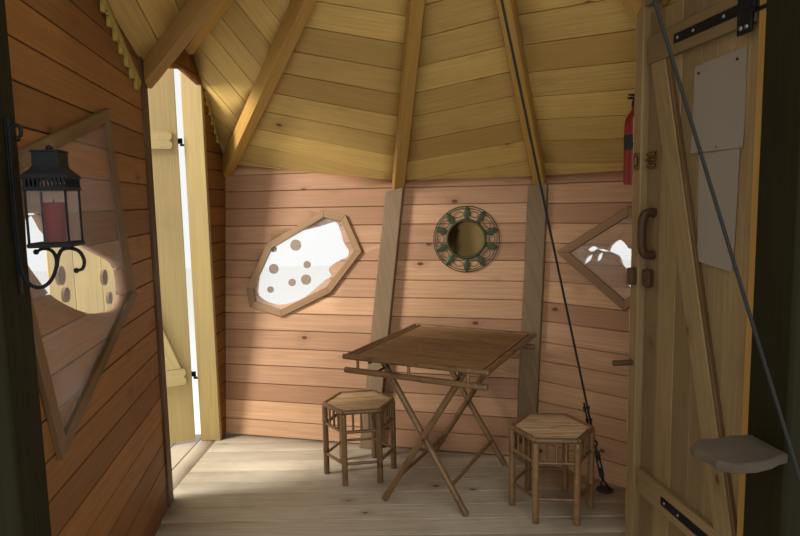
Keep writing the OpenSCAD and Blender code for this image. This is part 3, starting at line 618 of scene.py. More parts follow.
@dataclass(frozen=True)
class Wood:
    """Sawn softwood with growth bands, fibres and knots."""

    name: str
    pale: Colour
    dark: Colour
    knot: Colour = (0.085, 0.030, 0.010)
    knots: float = 0.5
    bands: float = 0.5
    spread: float = 0.35
    rough: float = 0.62
    stain: Colour = (0.30, 0.20, 0.13)
    stained: float = 0.25
    shine: float = 0.3
    grain: Grain = Grain.MAPPED

    def material(self) -> bpy.types.Material:
        """Builds the finish.

        Fibres are noise stretched some sixty times along the grain, bands are the sine of a slower
        stretched noise, and knots are cells of a flattened Voronoi pattern that push the bands
        aside.

        Returns:
            The material.
        """
        s = Shader(self.name)
        if self.grain is Grain.MAPPED:
            along, across, tone = s.grain()
        else:
            along, across, tone = s.upright(2 if self.grain is Grain.UPRIGHT else 0)
        u, v = along + tone * 37.0, across + tone * 11.0
        cells = s.node("TexVoronoi", None, {"Vector": s.vector(u * 4.2, v * 7.5), "Scale": 1.0}, "Distance")
        pick = s.node("SeparateColor", None, {0: Sock(s, cells.link.node.outputs["Color"])})
        chosen = self.knots * 0.62 + pick * -1.0 > 0.0
        core = (1 - cells.ramp(0.060, 0.105)) * chosen
        halo = (1 - cells.ramp(0.09, 0.36)) * chosen
        bent = v + halo * 0.016
        fibre = s.noise(s.vector(u * 3.0, bent * 190.0, tone * 9.0), 1.0, 3.0)
        slow = s.noise(s.vector(u * 0.55, bent * 13.0, tone * 5.0), 1.0, 1.5)
        band = (slow * 52.0).sine()
        weather = s.noise(s.spot(), 1.7, 4.0)
        base = s.mix((fibre - 0.32) * 1.1, self.pale, self.dark)
        base = s.mix(band * self.bands * 0.5, base, self.dark)
        base = s.mix((tone - 0.5) * 2.0 * self.spread, base, self.dark)
        base = s.mix((0.5 - tone) * 1.3 * self.spread, base, (0.98, 0.90, 0.74), "SOFT_LIGHT")
        base = s.mix(weather.ramp(0.42, 0.72) * self.stained, base, self.stain)
        base = s.mix(halo * 0.35, base, self.stain)
        base = s.mix(core * 0.9, base, self.knot)
        relief = fibre * 0.6 + band * 0.35 - core * 0.6
        return s.finish(base_color=base, roughness=self.rough + (fibre - 0.5) * 0.2,
                        specular_ior_level=self.shine, normal=s.bump(relief, 0.0012, 0.55))


@dataclass(frozen=True)
class Bamboo:
    """Varnished cane: streaks along it, and dark blotches."""

    name: str
    pale: Colour
    dark: Colour
    rough: float = 0.34

    def material(self) -> bpy.types.Material:
        """Builds the finish from stretched noise along the cane and blotches across it."""
        s = Shader(self.name)
        along, across, tone = s.grain()
        streak = s.noise(s.vector(along * 2.0 + tone * 17.0, across * 210.0, tone * 7.0), 1.0, 3.0)
        blotch = s.noise(s.vector(along * 9.0 + tone * 31.0, across * 22.0, tone * 3.0), 1.0, 3.0)
        base = s.mix((streak - 0.3) * 0.9, self.pale, self.dark)
        base = s.mix(blotch.ramp(0.48, 0.72) * 0.6, base, self.dark)
        base = s.mix(tone * 0.45, base, self.dark)
        return s.finish(base_color=base, roughness=self.rough + blotch * 0.18, coat_weight=0.25,
                        normal=s.bump(streak, 0.0006, 0.5))


@dataclass(frozen=True)
class Metal:
    """Painted or bare metal with worn patches."""

    name: str
    colour: Colour
    worn: Colour
    metallic: float = 0.0
    rough: float = 0.42
    wear: float = 0.3
    scale: float = 28.0
    shine: float = 0.5

    def material(self) -> bpy.types.Material:
        """Builds the finish: two sizes of noise give wear and a fine unevenness."""
        s = Shader(self.name)
        fine = s.noise(s.spot(), self.scale * 6, 3.0)
        patch = s.noise(s.spot(), self.scale, 4.0)
        base = s.mix(patch.ramp(0.5, 0.7) * self.wear, self.colour, self.worn)
        return s.finish(base_color=base, metallic=self.metallic, roughness=self.rough + (patch - 0.5) * 0.3,
                        specular_ior_level=self.shine, normal=s.bump(fine, 0.0005, 0.5))


@dataclass(frozen=True)
class Wire:
    """Laid steel wire: strands that wind round the cable."""

    name: str
    colour: Colour

    def material(self) -> bpy.types.Material:
        """Builds the finish: the sine of distance along plus distance round gives the strands."""
        s = Shader(self.name)
        along, across, _ = s.grain()
        strand = (along * 260.0 + across * 1000.0).sine()
        base = s.mix(strand, tuple(0.35 * c for c in self.colour), self.colour)
        return s.finish(base_color=base, specular_ior_level=0.2, roughness=0.6 - strand * 0.1,
                        normal=s.bump(strand, 0.001, 0.8))


@dataclass(frozen=True)
class Clear:
    """Clear sheet that shows what is behind it, with faint smears."""

    name: str
    colour: Colour
    alpha: float = 0.05
    rough: float = 0.04
    smears: float = 0.06

    def material(self) -> bpy.types.Material:
        """Builds the finish with noise in its roughness and its alpha."""
        s = Shader(self.name)
        smear = s.noise(s.spot(), 3.0, 4.0)
        made = s.finish(base_color=self.colour, roughness=self.rough + smear.ramp(0.4, 0.8) * 0.12,
                        alpha=self.alpha + smear.ramp(0.45, 0.75) * self.smears)
        made.surface_render_method = "BLENDED"
        return made


@dataclass(frozen=True)
class Plain:
    """Smooth matt stuff such as paper or wax, slightly mottled."""

    name: str
    colour: Colour
    rough: float = 0.7
    mottle: float = 0.12
    shine: float = 0.2

    def material(self) -> bpy.types.Material:
        """Builds the finish from one noise in colour and relief."""
        s = Shader(self.name)
        spot = s.noise(s.spot(), 14.0, 3.0)
        base = s.mix(spot * self.mottle, self.colour, tuple(0.55 * c for c in self.colour))
        return s.finish(base_color=base, roughness=self.rough, specular_ior_level=self.shine,
                        normal=s.bump(spot, 0.001, 0.4))


class Stuff(Enum):
    """Every finish of the tree house, with darker copies that paint shade and a paler one that paints light.
    """

    WALL = Wood("wall_pine", (0.56, 0.325, 0.185), (0.30, 0.145, 0.072), knots=0.8, spread=0.7,
                stain=(0.26, 0.13, 0.065))
    # Darker copy of the wall pine: painted shade on the left wall, whose inner face stands against the light.
    LEFT = Wood("left_wall_pine_painted_shade", (0.25, 0.105, 0.026), (0.12, 0.043, 0.010), knots=0.7, spread=0.6,
                stain=(0.10, 0.04, 0.012))
    # Darker copy of the wall pine: painted shade on the door wall round the bright doorway.
    HEAD = Wood("head_pine_painted_shade", (0.20, 0.082, 0.013), (0.115, 0.044, 0.007), knots=0.6,
                stain=(0.13, 0.055, 0.012))
    ROOF = Wood("roof_pine", (0.52, 0.35, 0.110), (0.30, 0.17, 0.042), knots=0.85, spread=0.7,
                stain=(0.26, 0.155, 0.045))
    RAFTER = Wood("rafter_pine", (0.43, 0.250, 0.056), (0.25, 0.124, 0.020), knots=0.4, spread=0.3)
    DOOR = Wood("door_pine", (0.62, 0.50, 0.23), (0.42, 0.30, 0.115), knots=0.6, spread=0.45)
    # Darker copy of the door pine: painted shade on the entrance door and the boards over it.
    PAINTED_SHADE_DOOR = Wood("entrance_pine_painted_shade", (0.22, 0.150, 0.068), (0.115, 0.072, 0.028), knots=0.6, spread=0.6,
                   stain=(0.075, 0.045, 0.018))
    JAMB = Wood("jamb_pine", (0.38, 0.28, 0.105), (0.27, 0.18, 0.058), knots=0.3, grain=Grain.UPRIGHT)
    FARPOST = Wood("far_post_pine", (0.24, 0.16, 0.070), (0.145, 0.088, 0.032), knots=0.4,
                   grain=Grain.UPRIGHT)
    NEARPOST = Wood("near_post_pine", (0.34, 0.190, 0.045), (0.20, 0.104, 0.023), knots=0.4,
                    grain=Grain.UPRIGHT)
    BATTEN = Wood("batten_wood", (0.34, 0.205, 0.100), (0.18, 0.095, 0.042), knots=0.2)
    # Darker copy of the batten wood: painted shade on the left window's battens and on the brace's side
    # strip.
    PAINTED_SHADE_BATTEN = Wood("batten_wood_painted_shade", (0.115, 0.058, 0.015), (0.055, 0.025, 0.006), knots=0.2)
    GREY = Wood("grey_post", (0.23, 0.155, 0.085), (0.13, 0.08, 0.04), knots=0.4, grain=Grain.UPRIGHT)
    BROWN = Wood("brown_post", (0.070, 0.029, 0.007), (0.032, 0.013, 0.004), knots=0.2, grain=Grain.UPRIGHT)
    GREEN = Wood("green_post", (0.016, 0.013, 0.004), (0.008, 0.007, 0.002), knots=0.25, rough=0.7,
                 stain=(0.008, 0.007, 0.003), shine=0.1, grain=Grain.UPRIGHT)
    FLOOR = Wood("floor_wood", (0.62, 0.545, 0.42), (0.31, 0.245, 0.165), knots=0.5, spread=0.6,
                 stain=(0.22, 0.17, 0.11), stained=0.55, rough=0.5)
    SILL = Wood("sill_wood", (0.62, 0.55, 0.42), (0.42, 0.35, 0.25), knots=0.3, rough=0.5)
    BEARER = Wood("bearer_wood", (0.30, 0.20, 0.12), (0.18, 0.11, 0.06), grain=Grain.SIDEWAYS)
    TRIM = Wood("trim_wood", (0.40, 0.29, 0.055), (0.23, 0.15, 0.026), knots=0.1)
    DISC = Wood("disc_wood", (0.24, 0.15, 0.085), (0.14, 0.08, 0.04), knots=0.0)
    HANDLE = Wood("handle_wood", (0.060, 0.026, 0.009), (0.030, 0.012, 0.004), knots=0.0, rough=0.4)
    SLAB = Wood("bark_slab", (0.046, 0.036, 0.026), (0.022, 0.017, 0.011), knots=0.3, rough=0.85)
    CANE = Bamboo("bamboo", (0.27, 0.150, 0.058), (0.060, 0.025, 0.008))
    # Paler copy of the split cane: painted light on the lit stool seats.
    SEAT = Bamboo("bamboo_seat_painted_light", (0.64, 0.44, 0.23), (0.27, 0.145, 0.058), 0.4)
    SLAT = Bamboo("bamboo_slat", (0.28, 0.145, 0.055), (0.095, 0.040, 0.013), 0.4)
    PEG = Bamboo("bamboo_peg", (0.05, 0.024, 0.010), (0.018, 0.009, 0.004), 0.5)
    IRON = Metal("black_iron", (0.006, 0.006, 0.007), (0.022, 0.018, 0.015), 0.0, 0.55, shine=0.15)
    BRASS = Metal("dull_brass", (0.16, 0.10, 0.035), (0.05, 0.035, 0.02), 0.8, 0.45)
    STEEL = Metal("dull_steel", (0.30, 0.30, 0.30), (0.12, 0.11, 0.10), 0.9, 0.4)
    DARKSTEEL = Metal("weathered_steel", (0.035, 0.035, 0.033), (0.02, 0.018, 0.016), 0.0, 0.5, shine=0.2)
    WIRE = Wire("cable_wire", (0.030, 0.030, 0.027))
    GREENMETAL = Metal("green_metal", (0.050, 0.065, 0.025), (0.13, 0.09, 0.035), 0.4, 0.5, 0.65, 40.0)
    MIRROR = Metal("mirror_glass", (0.10, 0.060, 0.022), (0.06, 0.038, 0.014), 1.0, 0.16, 0.3, 6.0)
    RED = Metal("red_paint", (0.17, 0.007, 0.006), (0.10, 0.005, 0.005), 0.0, 0.35, 0.3)
    BLACK = Plain("black_plastic", (0.02, 0.02, 0.02), 0.5)
    PAPER = Plain("notice_paper", (0.21, 0.175, 0.130), 0.75, 0.10)
    WAX = Plain("candle_wax", (0.10, 0.004, 0.003), 0.5, 0.2, 0.1)
    PANE = Clear("clear_pane", (0.90, 0.95, 0.95))
    LAMPGLASS = Clear("lantern_glass", (0.90, 0.95, 0.95), 0.015, 0.12, 0.02)

    @cached_property
    def look(self) -> bpy.types.Material:
        """Returns the finish's material, made on first use."""
        return self.value.material()


def dress(piece: Piece, stuff: Stuff, slot: str, *nodes: str, body: str = "house") -> Piece:
    """Gives a piece its finish, its body and the nodes that it stands for.

    Args:
        piece: The new object.
        stuff: Its finish.
        slot: The record's material slot.
        *nodes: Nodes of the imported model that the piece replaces.
        body: Body that it moves with.

    Returns:
        The same object.
    """
    piece.data.materials.clear()
    piece.data.materials.append(stuff.look)
    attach(piece, body)
    if nodes:
        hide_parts(*nodes)
    log.info("%s: %d faces on %s", piece.name, len(piece.data.polygons), body)
    return piece


@dataclass
class Plan:
    """The room's plan and roof: the corners of its walls and the tips of its rafters."""

    floor: float = 0.2
    start: tuple[float, float] = (-1.190, -0.640)
    headings: tuple[float, ...] = (98.7, 88.0, -13.8, -13.8, -42.4, 208.5, -82.0)
    left_len: float = 1.557
    door_len: float = 0.905
    back_lens: tuple[float, float] = (1.020, 0.983)
    lean: float = tan(radians(8.7))
    rake: float = 0.089
    right_az: float = 28.5
    front_az: float = -29.8
    entrance_r: float = 0.922
    porch_r: float = 1.568
    apex: float = 3.24
    peak_u: float = 0.600
    eaves: tuple[float, ...] = (2.600, 2.230, 2.540, 1.830, 1.680, 1.685, 1.700, 1.950)
    overhang: float = 0.115
    pivot: tuple[float, float] = (0.800, 0.150)
    leaf: tuple[float, float] = (0.136, 0.164)
    leaf_end: float = 0.015
    swing: float = 62.5

    def _to_ray(self, p: Array, h: float, az: float) -> float:
        """Returns the length along h from p to the ray that leaves the hub at azimuth az."""
        a, d = heading(az), heading(h)
        return -(p[0] * a[1] - p[1] * a[0]) / (d[0] * a[1] - d[1] * a[0])

    @cached_property
    def _hub_corners(self) -> list[Array]:
        """Returns the wall corners about the hub."""
        h = self.headings
        c = [np.array([*self.start, 0.0])]
        for k, length in enumerate((self.left_len, self.door_len, *self.back_lens)):
            c.append(c[-1] + length * heading(h[k]))
        c.append(c[4] + self._to_ray(c[4], h[4], self.right_az) * heading(h[4]))
        c.append(self.entrance_r * heading(self.right_az))
        c.append(c[6] + self._to_ray(c[6], h[6], self.front_az) * heading(h[6]))
        return c

    @property
    def slopes(self) -> tuple[float, ...]:
        """Returns the outward lean of each bay, as a slope."""
        return (0.0, 0.0, self.lean, self.lean, self.lean, 0.0, 0.0)

    def rise(self, k: int) -> Array:
        """Returns how corner k moves outward for each unit of height."""
        if k in (0, 7):
            return np.zeros(3)
        if k == 3:
            return outward(self.headings[2]) * self.lean + heading(self.headings[2]) * self.rake
        return meet(self.headings[k - 1], self.headings[k], self.slopes[k - 1], self.slopes[k])

    def mitre(self, k: int) -> Array:
        """Returns how corner k moves for each unit of wall thickness."""
        if k == 0 or k == 7:
            return outward(self.headings[min(k, 6)])
        if k == 3:
            return outward(self.headings[2])
        return meet(self.headings[k - 1], self.headings[k], 1.0, 1.0)

    def _hub_corner(self, k: int, z: float) -> Array:
        """Returns corner k at height z over the floor, about the hub."""
        return self._hub_corners[k] + self.rise(k) * z + (self.floor + z) * UP

    @cached_property
    def _hub_tips(self) -> Array:
        """Returns the tips of the rafters about the hub."""
        e = self.eaves
        door = self._hub_corner(1, e[2]) + self.peak_u * heading(self.headings[1])
        back = self._hub_corner(3, e[4]) + 0.006 * heading(self.headings[2])
        porch = self.porch_r * heading(self.front_az) + (self.floor + e[7]) * UP
        corner = self._hub_corner
        return np.array([corner(0, e[0]), corner(1, e[1]), door, corner(2, e[3]), back, corner(4, e[5]),
                         corner(5, e[6]), porch])

    @cached_property
    def shift(self) -> Array:
        """Returns the move from the hub's frame to the model's frame, its bounding box's middle."""
        peak = (self.floor + self.apex) * UP
        tips = self._hub_tips
        reach = norm(tips[:, :2], axis=1, keepdims=True)
        eaves = peak + (tips - peak) * (1 + self.overhang / reach)
        h = self.headings[1]
        hinge = self._hub_corners[1] + self.pivot[0] * heading(h) + self.pivot[1] * outward(h)
        ends = [hinge + (self.leaf_end - self.pivot[0]) * heading(h - self.swing)
                + (y - self.pivot[1]) * outward(h - self.swing) for y in self.leaf]
        x = (min(p[0] for p in ends) + eaves[:, 0].max()) / 2
        y = (eaves[:, 1].min() + eaves[:, 1].max()) / 2
        return np.array([-x, -y, 0.0])

    @property
    def peak(self) -> Array:
        """Returns the roof's peak."""
        return self.shift + (self.floor + self.apex) * UP

    @property
    def tips(self) -> Array:
        """Returns the tips of the rafters, where the roof's underside meets the walls."""
        return self._hub_tips + self.shift

    def corner(self, k: int) -> Array:
        """Returns corner k at floor level."""
        return self._hub_corners[k] + self.shift + self.floor * UP

    def beyond(self, p: Array, more: float) -> Array:
        """Moves roof points outward along their rafters by a plan distance."""
        reach = norm((p - self.peak)[..., :2], axis=-1, keepdims=True)
        return self.peak + (p - self.peak) * (1 + more / reach)


@dataclass
class Spot:
    """A level frame: an origin and a turn about the vertical."""

    origin: Array
    degrees: float = 0.0

    def place(self, x: Numbers, y: Numbers, z: Numbers) -> Array:
        """Turns local coordinates into the model's."""
        x, y, z = np.broadcast_arrays(*(np.asarray(a, float) for a in (x, y, z)))
        return (self.origin + x[..., None] * heading(self.degrees) + y[..., None] * outward(self.degrees)
                + z[..., None] * UP)


@dataclass
class Bay:
    """One wall's own frame and the slanted limits of its face."""

    plan: Plan
    k: int

    def place(self, x: Numbers, y: Numbers, z: Numbers) -> Array:
        """Turns local coordinates into the model's: x along, y outward and z up the leaning face."""
        tilt = atan(self.plan.slopes[self.k])
        y, z = np.asarray(y, float), np.asarray(z, float)
        level = Spot(self.plan.corner(self.k), self.plan.headings[self.k])
        return level.place(x, y * cos(tilt) + z * sin(tilt), z * cos(tilt) - y * sin(tilt))

    def limit(self, end: int, y: Array, z: Array) -> Array:
        """Returns local x of the bay's left (0) or right (1) end at depth y and height z."""
        along = heading(self.plan.headings[self.k])
        k = self.k + end
        length = norm(self.plan.corner(self.k + 1) - self.plan.corner(self.k))
        up = cos(atan(self.plan.slopes[self.k]))
        return end * length + (self.plan.rise(k) @ along) * z * up + (self.plan.mitre(k) @ along) * y

    def prism(self, outline: Array, low: float = -0.1, high: float = 0.1) -> Piece:
        """Makes an upright outline into a tool between two depths."""
        return block(*(self.place(outline[:, 0], y, outline[:, 1]) for y in (low, high)))


@dataclass
class BoardedWall:
    """Level boards over one bay, trimmed by the roof and cut by a window."""

    bay: Bay
    node: str
    facets: tuple[int, ...]
    top: float
    bottom: float = 0.0
    width: float = 0.118
    thick: float = 0.032
    span: tuple[float | None, float | None] = (None, None)
    cuts: tuple[Array, ...] = ()
    keep: Array | None = None
    stuff: Stuff = Stuff.WALL

    def _boards(self) -> Piece:
        """Lays the boards: each is a lapped bar whose ends follow the bay's limits."""
        shell = Shell(seed=11 + self.bay.k)
        rows = int(ceil((self.top - self.bottom) / self.width))
        edges = self.bottom + self.width * np.arange(rows + 1) + shell.random.normal(0, 0.0025, rows + 1)
        side, offset, depth = lapped(self.thick).T
        z = edges[:-1, None] + side * np.diff(edges)[:, None] + offset
        y = depth + shell.random.uniform(-0.0006, 0.0014, (rows, 1))
        left = self.bay.limit(0, y, z) if self.span[0] is None else np.full_like(z, self.span[0])
        right = self.bay.limit(1, y, z) if self.span[1] is None else np.full_like(z, self.span[1])
        s = np.linspace(0, 1, 5)[None, :, None]
        x = left[:, None] + s * (right - left)[:, None]
        points = self.bay.place(x, np.broadcast_to(y[:, None], x.shape), np.broadcast_to(z[:, None], x.shape))
        return shell.sweeps(points).build("boards_" + self.node)

    def build(self, roof: "Roof") -> Piece:
        """Lays, trims and dresses the boards."""
        wall = self._boards()
        for facet in self.facets:
            carve(wall, roof.above(facet), Cut.AWAY)
        if self.keep is not None:
            carve(wall, self.bay.prism(self.keep), Cut.WITHIN)
        for cut in self.cuts:
            carve(wall, self.bay.prism(cut), Cut.AWAY)
        return dress(wall, self.stuff, "wall_pine", self.node)


@dataclass
class Roof:
    """Boarded facets round the hub."""

    plan: Plan
    width: float = 0.158
    thick: float = 0.030
    nodes: tuple[str, ...] = ("roof_left", "roof_over_door", "roof_corner", "roof_back_left",
                              "roof_back_middle", "roof_back_right", "roof_right")
    lays: tuple[float | None, ...] = (None, None, 70.0, 18.0, -10.5, 4.0, None)

    def _axes(self, k: int) -> tuple[Array, Array, Array]:
        """Returns facet k's level direction, its fall direction and its upward normal."""
        a, b = self.plan.tips[k], self.plan.tips[k + 1]
        normal = np.cross(b - self.plan.peak, a - self.plan.peak)
        normal *= copysign(1.0, normal[2]) / norm(normal)
        level = unit(np.cross(UP, normal))
        level *= 1.0 if level @ np.array([1.0, -0.2, 0.0]) > 0 else -1.0
        fall = np.cross(normal, level)
        return level, fall * (-1.0 if fall[2] > 0 else 1.0), normal

    def above(self, k: int) -> Piece:
        """Makes a wide block that covers everything above facet k's underside."""
        level, fall, _ = self._axes(k)
        corners = ((-4, -1.5), (4, -1.5), (4, 4), (-4, 4))
        low = np.array([self.plan.peak + x * level + y * fall for x, y in corners])
        return block(low, low + 4.0 * UP)

    def facet(self, k: int) -> Piece:
        """Lays facet k's boards: bars along the lay direction, kept within the facet's outline."""
        level, fall, normal = self._axes(k)
        tips = self.plan.beyond(self.plan.tips[k:k + 2], self.plan.overhang)
        lay = self.lays[k]
        run = tips[1] - tips[0]
        if lay is not None:
            run = cos(radians(lay)) * level + sin(radians(lay)) * fall
        run = unit(run)
        over = np.cross(normal, run)
        outline = np.vstack([self.plan.peak, tips]) - self.plan.peak
        u, v = outline @ run, outline @ over
        shell = Shell(seed=31 + k)
        rows = int(ceil((v.max() - v.min()) / self.width)) + 1
        edges = v.min() - 0.05 + self.width * np.arange(rows + 1) + shell.random.normal(0, 0.004, rows + 1)
        side, offset, level_depth = lapped(self.thick * normal[2]).T
        across = edges[:-1, None] + side * np.diff(edges)[:, None] + offset
        depth = level_depth + shell.random.uniform(-0.0008, 0.0012, (rows, 1))
        ends = np.linspace(u.min() - 0.1, u.max() + 0.1, 6)
        points = (self.plan.peak + ends[None, :, None, None] * run + across[:, None, :, None] * over
                  + depth[:, None, :, None] * normal)
        made = shell.sweeps(points).build("boards_" + self.nodes[k])
        edge = np.vstack([self.plan.peak, tips])
        carve(made, block(edge - 0.1 * UP, edge + 0.1 * UP), Cut.WITHIN)
        return dress(made, Stuff.ROOF, "roof_pine", self.nodes[k])

    def build(self) -> None:
        """Builds every facet."""
        for k in range(len(self.nodes)):
            self.facet(k)


@dataclass
class Rafters:
    """Round-edged rafters under the roof, and the block that they meet at."""

    plan: Plan
    width: float = 0.074
    depth: float = 0.105
    hub_r: float = 0.150
    hub_h: float = 0.290
    nodes: tuple[str, ...] = ("rafter_front_left", "rafter_door_post", "rafter_door_head", "rafter_corner",
                              "rafter_back_left", "rafter_back_right", "rafter_right", "rafter_front_right")
    reach: tuple[float, ...] = (0.0, -0.004, 0.010, 0.012, 0.010, 0.010, 0.004, 0.0)

    def rafter(self, k: int) -> Piece:
        """Carries a bar with planed lower corners from the hub to tip k, slightly bowed and uneven."""
        shell = Shell(seed=51 + k)
        tip = self.plan.tips[k]
        rafter = tip - self.plan.peak
        inner = self.plan.peak + rafter * (self.hub_r * 0.93 / norm(rafter[:2]))
        outer = self.plan.beyond(tip, self.reach[k])
        s = np.linspace(0, 1, 24)[:, None]
        path = inner + (outer - inner) * s
        across = (outer - inner)[[1, 0]] * np.array([1, -1])
        path[:, :2] += 0.0025 * np.sin(s * 7.0 + k) * across * (1 - s) * s
        side = unit(np.cross(outer - inner, UP))
        corner = np.array([[-0.5, -0.86], [-0.42, -1.0], [0.42, -1.0], [0.5, -0.86], [0.5, 0.12],
                           [-0.5, 0.12]])
        top = 0.0 if k in (0, 7) else 0.012
        uneven = 1 + shell.random.normal(0, 0.006, (24, 6, 1))
        outline = corner[None] * uneven
        height = np.where(corner[None, :, 1:] > 0, top, outline[..., 1:] * self.depth)
        points = path[:, None] + outline[..., :1] * self.width * side + height * UP
        made = shell.sweep(points).build(self.nodes[k] + "_bar", 50)
        return dress(made, Stuff.RAFTER, "rafter_pine", self.nodes[k])

    def hub(self) -> Piece:
        """Turns the hub block: circles of changing radius up its axis."""
        rings = ((0.0, 0.135), (0.012, 0.148), (0.10, 0.150), (0.16, 0.148), (0.20, 0.146), (0.29, 0.12),
                 (0.318, 0.05))
        made = Shell().turned(Spot(self.plan.peak - self.hub_h * UP).place, rings, 32).build("hub_block")
        return dress(made, Stuff.RAFTER, "rafter_pine", "roof_hub")

    def build(self) -> None:
        """Builds the rafters and the hub."""
        for k in range(len(self.nodes)):
            self.rafter(k)
        self.hub()


@dataclass
class FloorBoards:
    """Deck boards that run along X over the floor's outline."""

    plan: Plan
    width: float = 0.142
    thick: float = 0.028
    porch_in: float = 0.040
    landing: float = 0.520

    def _outline(self) -> Array:
        """Returns the outline of the deck inside and under the walls."""
        p = self.plan
        walls = [p.corner(k) + p.mitre(k) * 0.032 for k in range(6)]
        porch = p.shift + (p.porch_r - self.porch_in) * heading(p.front_az)
        return np.array([w[:2] for w in (*walls, porch)])

    def _strips(self, outline: Array, name: str, angle: float) -> Piece:
        """Lays boards along a direction and keeps what lies within an outline."""
        shell = Shell(seed=71)
        run, over = heading(angle)[:2], outward(angle)[:2]
        u, v = outline @ run, outline @ over
        rows = int(ceil((v.max() - v.min()) / self.width)) + 1
        starts = v.min() - 0.03 + self.width * np.arange(rows)
        side, offset, depth = lapped(self.thick, 0.0036, 0.0135).T
        ends = np.linspace(u.min() - 0.1, u.max() + 0.1, 4)
        lift = shell.random.uniform(-0.0010, 0.0, (rows, 1))
        across = starts[:, None] + side * self.width + offset
        flat = ends[None, :, None, None] * run + across[:, None, :, None] * over
        z = np.broadcast_to((self.plan.floor - depth + lift)[:, None, :, None], (*flat.shape[:3], 1))
        made = shell.sweeps(np.concatenate([flat, z], -1)).build(name)
        base = np.column_stack([outline, np.full(len(outline), self.plan.floor - 0.1)])
        carve(made, block(base, base + 0.2 * UP), Cut.WITHIN)
        return made

    def build(self) -> None:
        """Builds the room's boards and the landing's, and cuts the room's round the left post."""
        room = self._strips(self._outline(), "deck_boards", -0.6)
        post = np.array([[-0.166, -0.2], [0.0005, -0.2], [0.0005, 0.2], [-0.166, 0.2]])
        carve(room, Bay(self.plan, 0).prism(post, -0.0555, 0.1105), Cut.AWAY)
        dress(room, Stuff.FLOOR, "floor_wood", "floor_deck")
        door = Bay(self.plan, 1)
        width, inner, outer = self.plan.door_len, 0.034, self.landing
        edge = door.place(np.array([0.0, width, width, 0.0]), np.array([inner, inner, outer, outer]), 0.0)
        made = self._strips(edge[:, :2], "landing_boards", self.plan.headings[1])
        dress(made, Stuff.SILL, "floor_wood")


@dataclass
class Studio:
    """Camera, lamps, floor and backdrop; the eye's height is over the deck, angles in degrees."""

    plan: Plan
    level: float = 1.05
    sky: Colour = (1.0, 0.985, 0.95)
    eye: tuple[float, float, float] = (-0.19, -2.18, 1.55)
    film: float = 36.0
    lens: float = 27.36
    down: float = 6.3
    roll: float = -1.15

    def camera(self) -> None:
        """Sets the camera at the photograph's place: eye height over the floor, tipped down."""
        data = bpy.data.cameras.new("view")
        data.sensor_width, data.lens = self.film, self.lens
        made = added("view", data)
        made.location = self.plan.shift + self.eye + self.plan.floor * UP
        made.rotation_mode = "QUATERNION"
        tip = Euler((radians(90 - self.down), 0, 0)).to_quaternion()
        made.rotation_quaternion = tip @ Quaternion((0, 0, 1), radians(self.roll))
        bpy.context.scene.camera = made

    def lamp(self, name: str, place: Sequence[float], aim: Sequence[float], size: float, power: float,
             colour: Colour = (1, 1, 1)) -> None:
        """Adds a square soft lamp that points at a place."""
        data = bpy.data.lights.new(name, "AREA")
        data.size, data.energy, data.color = size, power, colour
        made = added(name, data)
        made.location = place
        toward = np.asarray(aim, float) - np.asarray(place, float)
        made.rotation_mode = "QUATERNION"
        made.rotation_quaternion = Vector(toward).to_track_quat("-Z", "Y")

    def world(self) -> None:
        """Lights the scene evenly, and shows near-white behind it to the camera, gloss and glass."""
        s = Shader("sky", world=True)
        seen = s.node("LightPath", None, None, "Is Camera Ray")
        for ray in ("Is Glossy Ray", "Is Transmission Ray"):
            other = s.node("LightPath", None, None, ray)
            seen = s.node("Math", {"operation": "MAXIMUM"}, {0: seen, 1: other})
        dim = s.node("Background", None, {0: (*self.sky, 1), 1: self.level})
        bright = s.node("Background", None, {0: (0.93, 0.94, 0.93, 1), 1: 1.0})
        s.node("OutputWorld", None, {0: s.node("MixShader", None, {0: seen, 1: dim, 2: bright})}, None)
        bpy.context.scene.world = s.material

    def ground(self) -> None:
        """Lays a wide pale floor at ground level."""
        shell = Shell()
        edge = np.array([[-14, -14], [14, -14], [14, 14], [-14, 14]], float)
        rings = [np.column_stack([edge, np.full(4, z)]) for z in (-0.02, 0.0)]
        made = shell.sweep(np.stack(rings)).build("studio_floor")
        s = Shader("studio_pale")
        grain = s.noise(s.spot(), 2.0, 2.0)
        base = s.mix(grain * 0.1, (0.80, 0.80, 0.79), (0.74, 0.74, 0.73))
        made.data.materials.append(s.finish(base_color=base, roughness=0.9))

    def build(self) -> None:
        """Builds the whole studio."""
        self.camera()
        self.world()
        self.ground()
        self.lamp("front_lamp", (0.6, -4.6, 3.0), (0.1, 0.4, 1.2), 3.0, 24)
        self.lamp("door_lamp", (-3.6, -0.6, 3.3), (-0.6, 1.0, 0.6), 1.0, 230, (1.0, 0.97, 0.92))
        bpy.context.scene.view_settings.view_transform = "Standard"


